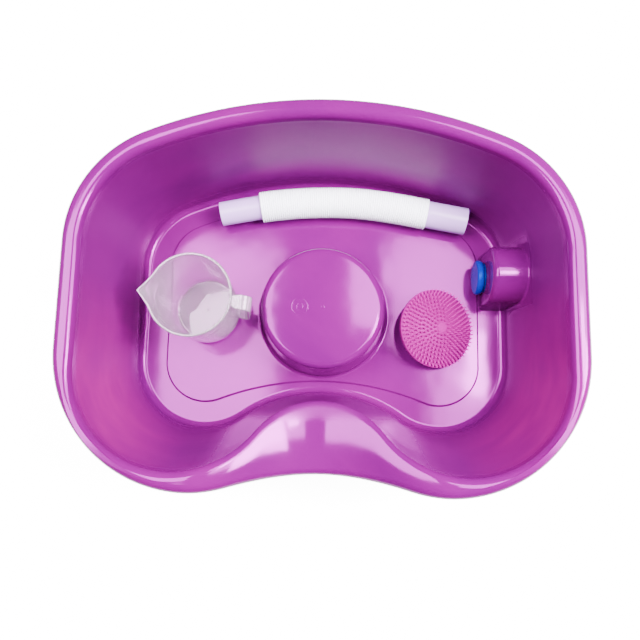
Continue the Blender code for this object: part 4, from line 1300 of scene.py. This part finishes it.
def pull_spout(j, mesh):
    """Draws the rim out to a pointed spout at -X."""
    start = j.height - j.spout_drop
    for vert in mesh.verts:
        x, y, z = vert.co
        away = abs(pi - abs(atan2(y, x)))
        if z > start and away < j.spout_half and hypot(x, y) >= WELD:
            peak = (1 - away / j.spout_half) ** j.spout_point
            vert.co.x -= j.spout_reach * peak * ((z - start) / j.spout_drop) ** j.spout_flare


def handle_ring(j, y, half):
    """The strap's outline in the plane of its bend, at one place across its width."""
    corner = j.handle_corner
    reach = j.handle_top_reach - j.handle_low_reach
    lean = degrees(atan2(reach, j.handle_top - j.handle_low))
    top = (j.handle_top_reach - corner, j.handle_top - corner)
    low = (j.handle_low_reach - corner, j.handle_low + corner)
    start, finish = (jug_radius(j, z) - j.wall / 2 for z in (j.handle_top, j.handle_low))
    sides = []
    for out in (half, -half):
        side = [(x, j.handle_top + out) for x in spread(start, top[0], 6)[:-1]]
        side += rounded(top, corner + out, 90, -lean, 12)
        side += rounded(low, corner + out, -lean, -90, 12)
        side += [(x, j.handle_low - out) for x in spread(low[0], finish, 4)[1:]]
        sides.append(side)
    ring = []
    for x, z in sides[0] + sides[1][::-1]:
        free = eased(min(1, max(0, (x - jug_radius(j, z)) / corner)))
        width = j.handle_root + (j.handle_width - j.handle_root) * free
        ring.append(Vector((x, y * width / 2, z)))
    return ring


def handle_solid(j):
    """Strap handle with rounded edges, from below the rim to the wall above the base."""
    half = j.handle_thick / 2
    edge = half * 0.7
    margin = 2 * edge / j.handle_width
    rings = []
    for angle in map(radians, spread(-90, 90, 10)):
        way = (angle > 0) - (angle < 0)
        across = way * (1 - margin) + margin * sin(angle)
        rings.append(handle_ring(j, across, half - edge * (1 - cos(angle))))
    return put("jug_handle", loft(rings))


class BASIN_OT_jug(Operator):
    """Turns the clear jug, draws out its spout and joins its strap handle"""

    bl_idname = "basin.jug"
    bl_label = "Measuring Jug"

    def execute(self, context):
        j = context.scene.measuring_jug
        seat = BasinForm(context.scene.shampoo_basin).platform_z + SEAT_GAP
        thin, thick = (
            plastic(
                name, tint(j.clear, 0.97), j.clear, roughness=roughness, rub=0.2, clouds=20.0,
                waves=(38.0, waves), grain=(1200.0, 0.000004), transmission_weight=clearness,
                ior=1.45, specular_tint=(1.0, 0.75, 1.0, 1),
            )
            for name, roughness, waves, clearness in (
                ("clear_plastic", 0.05, 0.0006, 0.86),
                ("thick_clear_plastic", 0.12, 0.0003, 0.84),
            )
        )
        mesh = turned(jug_profile(j), j.steps)
        pull_spout(j, mesh)
        mesh.transform(Matrix.Rotation(j.spout_turn, 4, "Z"))
        jug = combine(put("clear_jug", mesh, thin), handle_solid(j), "UNION")
        jug.data.materials.append(thick)
        for face in jug.data.polygons:
            x, _, z = face.center
            if z < j.foot_height * 0.9 or x > jug_radius(j, z) + j.bead:
                face.material_index = 1
        place = Matrix.Translation((j.x, 0, seat)) @ Matrix.Rotation(j.turn, 4, "Z")
        jug.data.transform(place)
        finished(jug, "jug", "jug", "measuring_jug", sharp=38)
        return {"FINISHED"}


# Scalp brush, made with its back in the plane Z = 0 and its bristles up


def pad_sphere(c):
    """Radius of the sphere that the pad's dome is cut from."""
    return (c.pad_radius**2 + c.dome**2) / (2 * c.dome)


def pad_top(c, radius):
    sphere = pad_sphere(c)
    return c.pad_edge + sqrt(sphere**2 - radius**2) - (sphere - c.dome)


def bristle_rings(t, given):
    """Rings of tapered bristles that lean out with a dome, each a little its own way."""
    # How far a bristle strays, its rings of points, how much it narrows and how blunt its tip is
    sway, segments, taper, blunt, roundness = 0.035, 9, 0.62, 0.97, 6.0
    start, stop = t.node("RepeatInput"), t.node("RepeatOutput")
    start.pair_with_output(stop)
    t.feed(start.inputs["Iterations"], given.rings)
    ring, rings_so_far = (Flow(t, start.outputs[name]) for name in ("Iteration", "Geometry"))
    step = (given.last_radius - given.first_radius) / (given.rings - 1.0)
    radius = given.first_radius + step * ring
    number = t.math("ROUND", radius * (2 * pi) / given.pitch)
    circle = t.out("MeshCircle", {"Vertices": number, "Radius": radius})
    spin = t.join(z=t.math("MODULO", ring, 2.0) * pi / number)
    joined = t.node("JoinGeometry")
    t.feed(joined.inputs[0], rings_so_far)
    t.feed(joined.inputs[0], t.out("Transform", {"Geometry": circle, "Rotation": spin}))
    t.feed(stop.inputs["Geometry"], Flow(t, joined.outputs[0]))
    place = t.out("InputPosition")
    reach = t.vector("LENGTH", place)
    drop = t.math("SQRT", given.sphere * given.sphere - reach * reach)
    domed = t.out("SetPosition", {
        "Geometry": Flow(t, stop.outputs["Geometry"]), "Offset": t.join(z=drop + given.dome_foot),
    })
    x, y, z = t.split(place)
    away = t.join(x, y)
    slope = t.math("ARCTANGENT", t.vector("LENGTH", away) / (z - given.dome_foot))
    lean = given.splay * slope
    outward = t.vector("SCALE", t.vector("NORMALIZE", away), scale=t.math("SINE", lean))
    upward = t.join(z=t.math("COSINE", lean))
    stray = t.out(
        "FunctionNodeRandomValue",
        {0: (-sway, -sway, 0.0), 1: (sway, sway, 0.0), "Seed": given.seed},
        data_type="FLOAT_VECTOR",
    )
    way = t.vector("ADD", t.vector("ADD", outward, upward), stray)
    whole_length = given.length + given.sink
    rod = t.out("MeshCylinder", {
        "Vertices": given.sides, "Side Segments": segments, "Radius": given.base_radius,
        "Depth": whole_length,
    })
    x, y, z = t.split(place)
    # The share from root to tip, kept so the finish can paint shade at the roots and a highlight at
    # the tips
    part = t.math("ADD", z / whole_length, 0.5, clamp=True)
    marked = t.out(
        "StoreNamedAttribute", {"Geometry": rod, "Name": "tip", "Value": part},
        data_type="FLOAT", domain="POINT",
    )
    end = t.math("SQRT", 1.0 - t.math("POWER", part, roundness) * blunt)
    slim = (1.0 - part * taper) * end
    shaped = t.join(x * slim, y * slim, z + (given.length - given.sink) * 0.5)
    planted = t.out("InstanceOnPoints", {
        "Points": domed,
        "Instance": t.out("SetPosition", {"Geometry": marked, "Position": shaped}),
        "Rotation": t.out("FunctionNodeAlignRotationToVector", {"Vector": way}, axis="Z"),
    })
    return {"Shape": t.dressed(planted, given.finish)}


def tip_glow(made, deep, bright):
    """Paints the bristles darker at their roots, between them, and lighter at their tips: painted
    shade and painted highlight on one pink.
    """
    t = Surface(made)
    tips = t.ramp(t.out("Attribute", output="Fac", attribute_name="tip"), 0.1, 1.0)
    t.feed(t.sockets["Base Color"], t.mix(tips, (*deep, 1), (*bright, 1)))


class BASIN_OT_brush(Operator):
    """Turns the brush's back, knob and soft pad, and plants its bristles"""

    bl_idname = "basin.brush"
    bl_label = "Scalp Brush"

    def execute(self, context):
        c = context.scene.scalp_brush
        seat = BasinForm(context.scene.shampoo_basin).platform_z + SEAT_GAP
        tilt = atan((c.knob_drop - c.back_thick) / (c.back_radius - c.knob_foot))
        low = c.back_radius * sin(tilt) + c.back_thick * cos(tilt)
        place = Matrix.Translation((c.x, c.y, seat + low)) @ Matrix.Rotation(tilt, 4, "Y")
        self.pad(c, place)
        self.back(c, place)
        return {"FINISHED"}

    def pad(self, c, place):
        finish = plastic(
            "bristle_pink", tint(c.pink, 0.8), c.pink, roughness=0.42, clouds=30.0,
            waves=(120.0, 0.0001), grain=(2000.0, 0.00001), specular_ior_level=0.12,
            specular_tint=(1.0, 0.1, 0.8, 1),
        )
        # Painted shade at the bristles' roots and painted highlight at their tips: darker and lighter
        # copies of the pink
        tip_glow(finish, tint(c.pink, 0.62), tint(c.pink, 1.25))
        nub, edge, lip = c.nub_radius, c.nub_height / 3, c.pad_edge / 4
        top = pad_top(c, 0) + c.nub_height
        inner = c.pad_radius - c.pad_lip
        profile = [(0, top)] + rounded((nub * 0.85 - edge, top - edge), edge, 90, 10)
        profile += [(r, pad_top(c, r)) for r in spread(nub, c.pad_radius, 16)[:-1]]
        profile += rounded((c.pad_radius - lip, c.pad_edge - lip), lip, 60, 0)
        profile += rounded((c.pad_radius - lip, SEAT_GAP + lip), lip, 0, -90)
        profile += [(inner, SEAT_GAP)]
        profile += [(r, pad_top(c, r) - c.pad_skin) for r in spread(inner * 0.95, 0, 8)]
        sphere = pad_sphere(c)
        strands = grow(bristle_rings, {
            "rings": c.rings, "first_radius": nub + c.nub_clearance,
            "last_radius": c.pad_radius - c.margin, "pitch": c.pitch, "sphere": sphere,
            "dome_foot": c.pad_edge - (sphere - c.dome), "splay": c.splay, "length": c.bristle,
            "sink": c.bristle_sink, "base_radius": c.bristle_base, "sides": c.sides,
            "seed": c.seed, "finish": finish,
        })
        skin = bpy.data.meshes.new("pad_skin")
        turned(profile, 128).to_mesh(skin)
        mesh = bmesh.new()
        for data in (strands, skin):
            mesh.from_mesh(data)
            bpy.data.meshes.remove(data)
        bmesh.ops.recalc_face_normals(mesh, faces=mesh.faces)
        pad = put("bristle_pad", mesh, finish, place)
        finished(pad, "brush", "bristles", "brush_pad", sharp=60)

    def back(self, c, place):
        finish = plastic(
            "brush_rose", tint(c.rose, 0.85), c.rose, roughness=0.2, clouds=18.0,
            waves=(50.0, 0.0002), specular_tint=(1.0, 0.1, 0.8, 1),
        )
        edge, waist, knob = c.back_thick, c.knob_waist, c.knob_drop
        bulge = -(waist + knob) / 2
        profile = [(0, 0)] + rounded((c.back_radius - edge / 3, -edge / 3), edge / 3, 90, 0)
        profile += rounded((c.back_radius - edge, -edge), edge, -5, -85, 6)
        profile += [(c.knob_radius, -edge * 2)]
        profile += rounded((c.neck_radius + edge, -edge * 3), edge, 90, 180, 6)
        profile += [(c.neck_radius, -waist)]
        profile += rounded((c.knob_radius - edge, bulge + edge / 2), edge, 80, 0, 6)
        profile += rounded((c.knob_radius - edge * 1.2, bulge - edge), edge * 1.2, 0, -50, 5)
        profile += rounded((c.knob_foot - edge / 2, -knob + edge / 2), edge / 2, -10, -90)
        profile += [(0, -knob)]
        back = put("brush_back", turned(profile), finish, place)
        finished(back, "brush", "brush_back", "brush_handle", sharp=50)


# Studio


def softbox(name, corner, far, height, radiance):
    """A rectangular lamp over the floor, from corner to corner, that faces straight down."""
    wide, deep = far[0] - corner[0], far[1] - corner[1]
    lamp = bpy.data.lights.new(name, "AREA")
    lamp.shape = "RECTANGLE"
    lamp.size, lamp.size_y = wide, deep
    lamp.energy = 4 * wide * deep * radiance
    thing = bpy.data.objects.new(name, lamp)
    thing.location = (corner[0] + wide / 2, corner[1] + deep / 2, height)
    bpy.context.collection.objects.link(thing)


def studio_world(gain):
    """A room with bright walls under a dim ceiling."""
    world = bpy.data.worlds.new("studio_world")
    world.use_nodes = True
    t = Tree(world.node_tree)
    height = t.split(t.out("TexCoord", output="Generated"))[2]
    walls = t.ramp(height, 0.0, 0.45, gain * 0.45, gain)
    strength = world.node_tree.nodes["Background"].inputs["Strength"]
    t.feed(strength, walls * t.ramp(height, 0.5, 0.9, 1.0, 0.14))
    bpy.context.scene.world = world


class BASIN_OT_studio(Operator):
    """Lays the pale floor, hangs the softboxes and aims the camera"""

    bl_idname = "basin.studio"
    bl_label = "Studio"

    def execute(self, context):
        s = context.scene.basin_studio
        self.camera(context, s)
        self.floor(s)
        for name, (corner, far, drop, gain) in SOFTBOXES.items():
            softbox(name, corner, far, s.lamp_height - drop, s.lamp_gain * gain)
        studio_world(s.sky_gain)
        return {"FINISHED"}

    def camera(self, context, s):
        lens = bpy.data.cameras.new("photo_camera")
        lens.lens = s.lens
        lens.sensor_width = 36
        lens.clip_start = 0.01
        eye = bpy.data.objects.new("photo_camera", lens)
        place = Matrix.Translation(s.place)
        for angle, axis in ((s.tilt, "X"), (-s.yaw, "Y"), (s.roll, "Z")):
            place = place @ Matrix.Rotation(angle, 4, axis)
        eye.matrix_world = place
        context.collection.objects.link(eye)
        context.scene.camera = eye

    def floor(self, s):
        made = bpy.data.materials.new("studio_floor")
        t = Surface(made)
        cloud = t.out("TexNoise", {"Vector": t.on_object(), "Scale": 3.0})
        seen = t.out("LightPath", output="Is Camera Ray")
        t.feed(t.sockets["Base Color"], (*s.white, 1))
        t.feed(t.sockets["Roughness"], t.ramp(cloud, 0.3, 0.7, 0.7, 0.8))
        t.feed(t.sockets["Emission Color"], (1, 1, 1, 1))
        t.feed(t.sockets["Emission Strength"], seen * s.floor_glow)
        mesh = bmesh.new()
        bmesh.ops.create_circle(mesh, cap_ends=True, segments=96, radius=s.floor_radius)
        floor = put("studio_floor", mesh, made, Matrix.Translation((0, 0, -SEAT_GAP)))


# Panel and registration


class BASIN_PT_sidebar(Panel):
    """Lists the basin's pieces and their sizes"""

    bl_idname = "BASIN_PT_sidebar"
    bl_label = "Shampoo Basin"
    bl_space_type = "VIEW_3D"
    bl_region_type = "UI"
    bl_category = "Basin"

    def draw(self, context):
        for operator in OPERATORS:
            self.layout.operator(operator.bl_idname)
        for name in GROUPS:
            box = self.layout.box()
            sizes = getattr(context.scene, name)
            for title in sizes.bl_rna.properties.keys():
                if title not in ("rna_type", "name"):
                    box.prop(sizes, title)


GROUPS = {
    "shampoo_basin": ShampooBasin,
    "basin_outlet": BasinOutlet,
    "drain_hose": DrainHose,
    "measuring_jug": MeasuringJug,
    "scalp_brush": ScalpBrush,
    "basin_studio": BasinStudio,
}
OPERATORS = (
    BASIN_OT_studio,
    BASIN_OT_hose,
    BASIN_OT_shell,
    BASIN_OT_outlet,
    BASIN_OT_stopper,
    BASIN_OT_jug,
    BASIN_OT_brush,
)


def register():
    for name, sizes in GROUPS.items():
        bpy.utils.register_class(sizes)
        setattr(bpy.types.Scene, name, PointerProperty(type=sizes))
    for made in (*OPERATORS, BASIN_PT_sidebar):
        bpy.utils.register_class(made)


def unregister():
    for made in reversed((*OPERATORS, BASIN_PT_sidebar)):
        bpy.utils.unregister_class(made)
    for name, sizes in reversed(GROUPS.items()):
        delattr(bpy.types.Scene, name)
        bpy.utils.unregister_class(sizes)


def main():
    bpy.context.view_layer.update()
    register()
    bpy.ops.basin.studio()
    bpy.ops.basin.hose()
    bpy.ops.basin.shell()
    bpy.ops.basin.outlet()
    bpy.ops.basin.stopper()
    bpy.ops.basin.jug()
    bpy.ops.basin.brush()


if __name__ == "__main__":
    main()
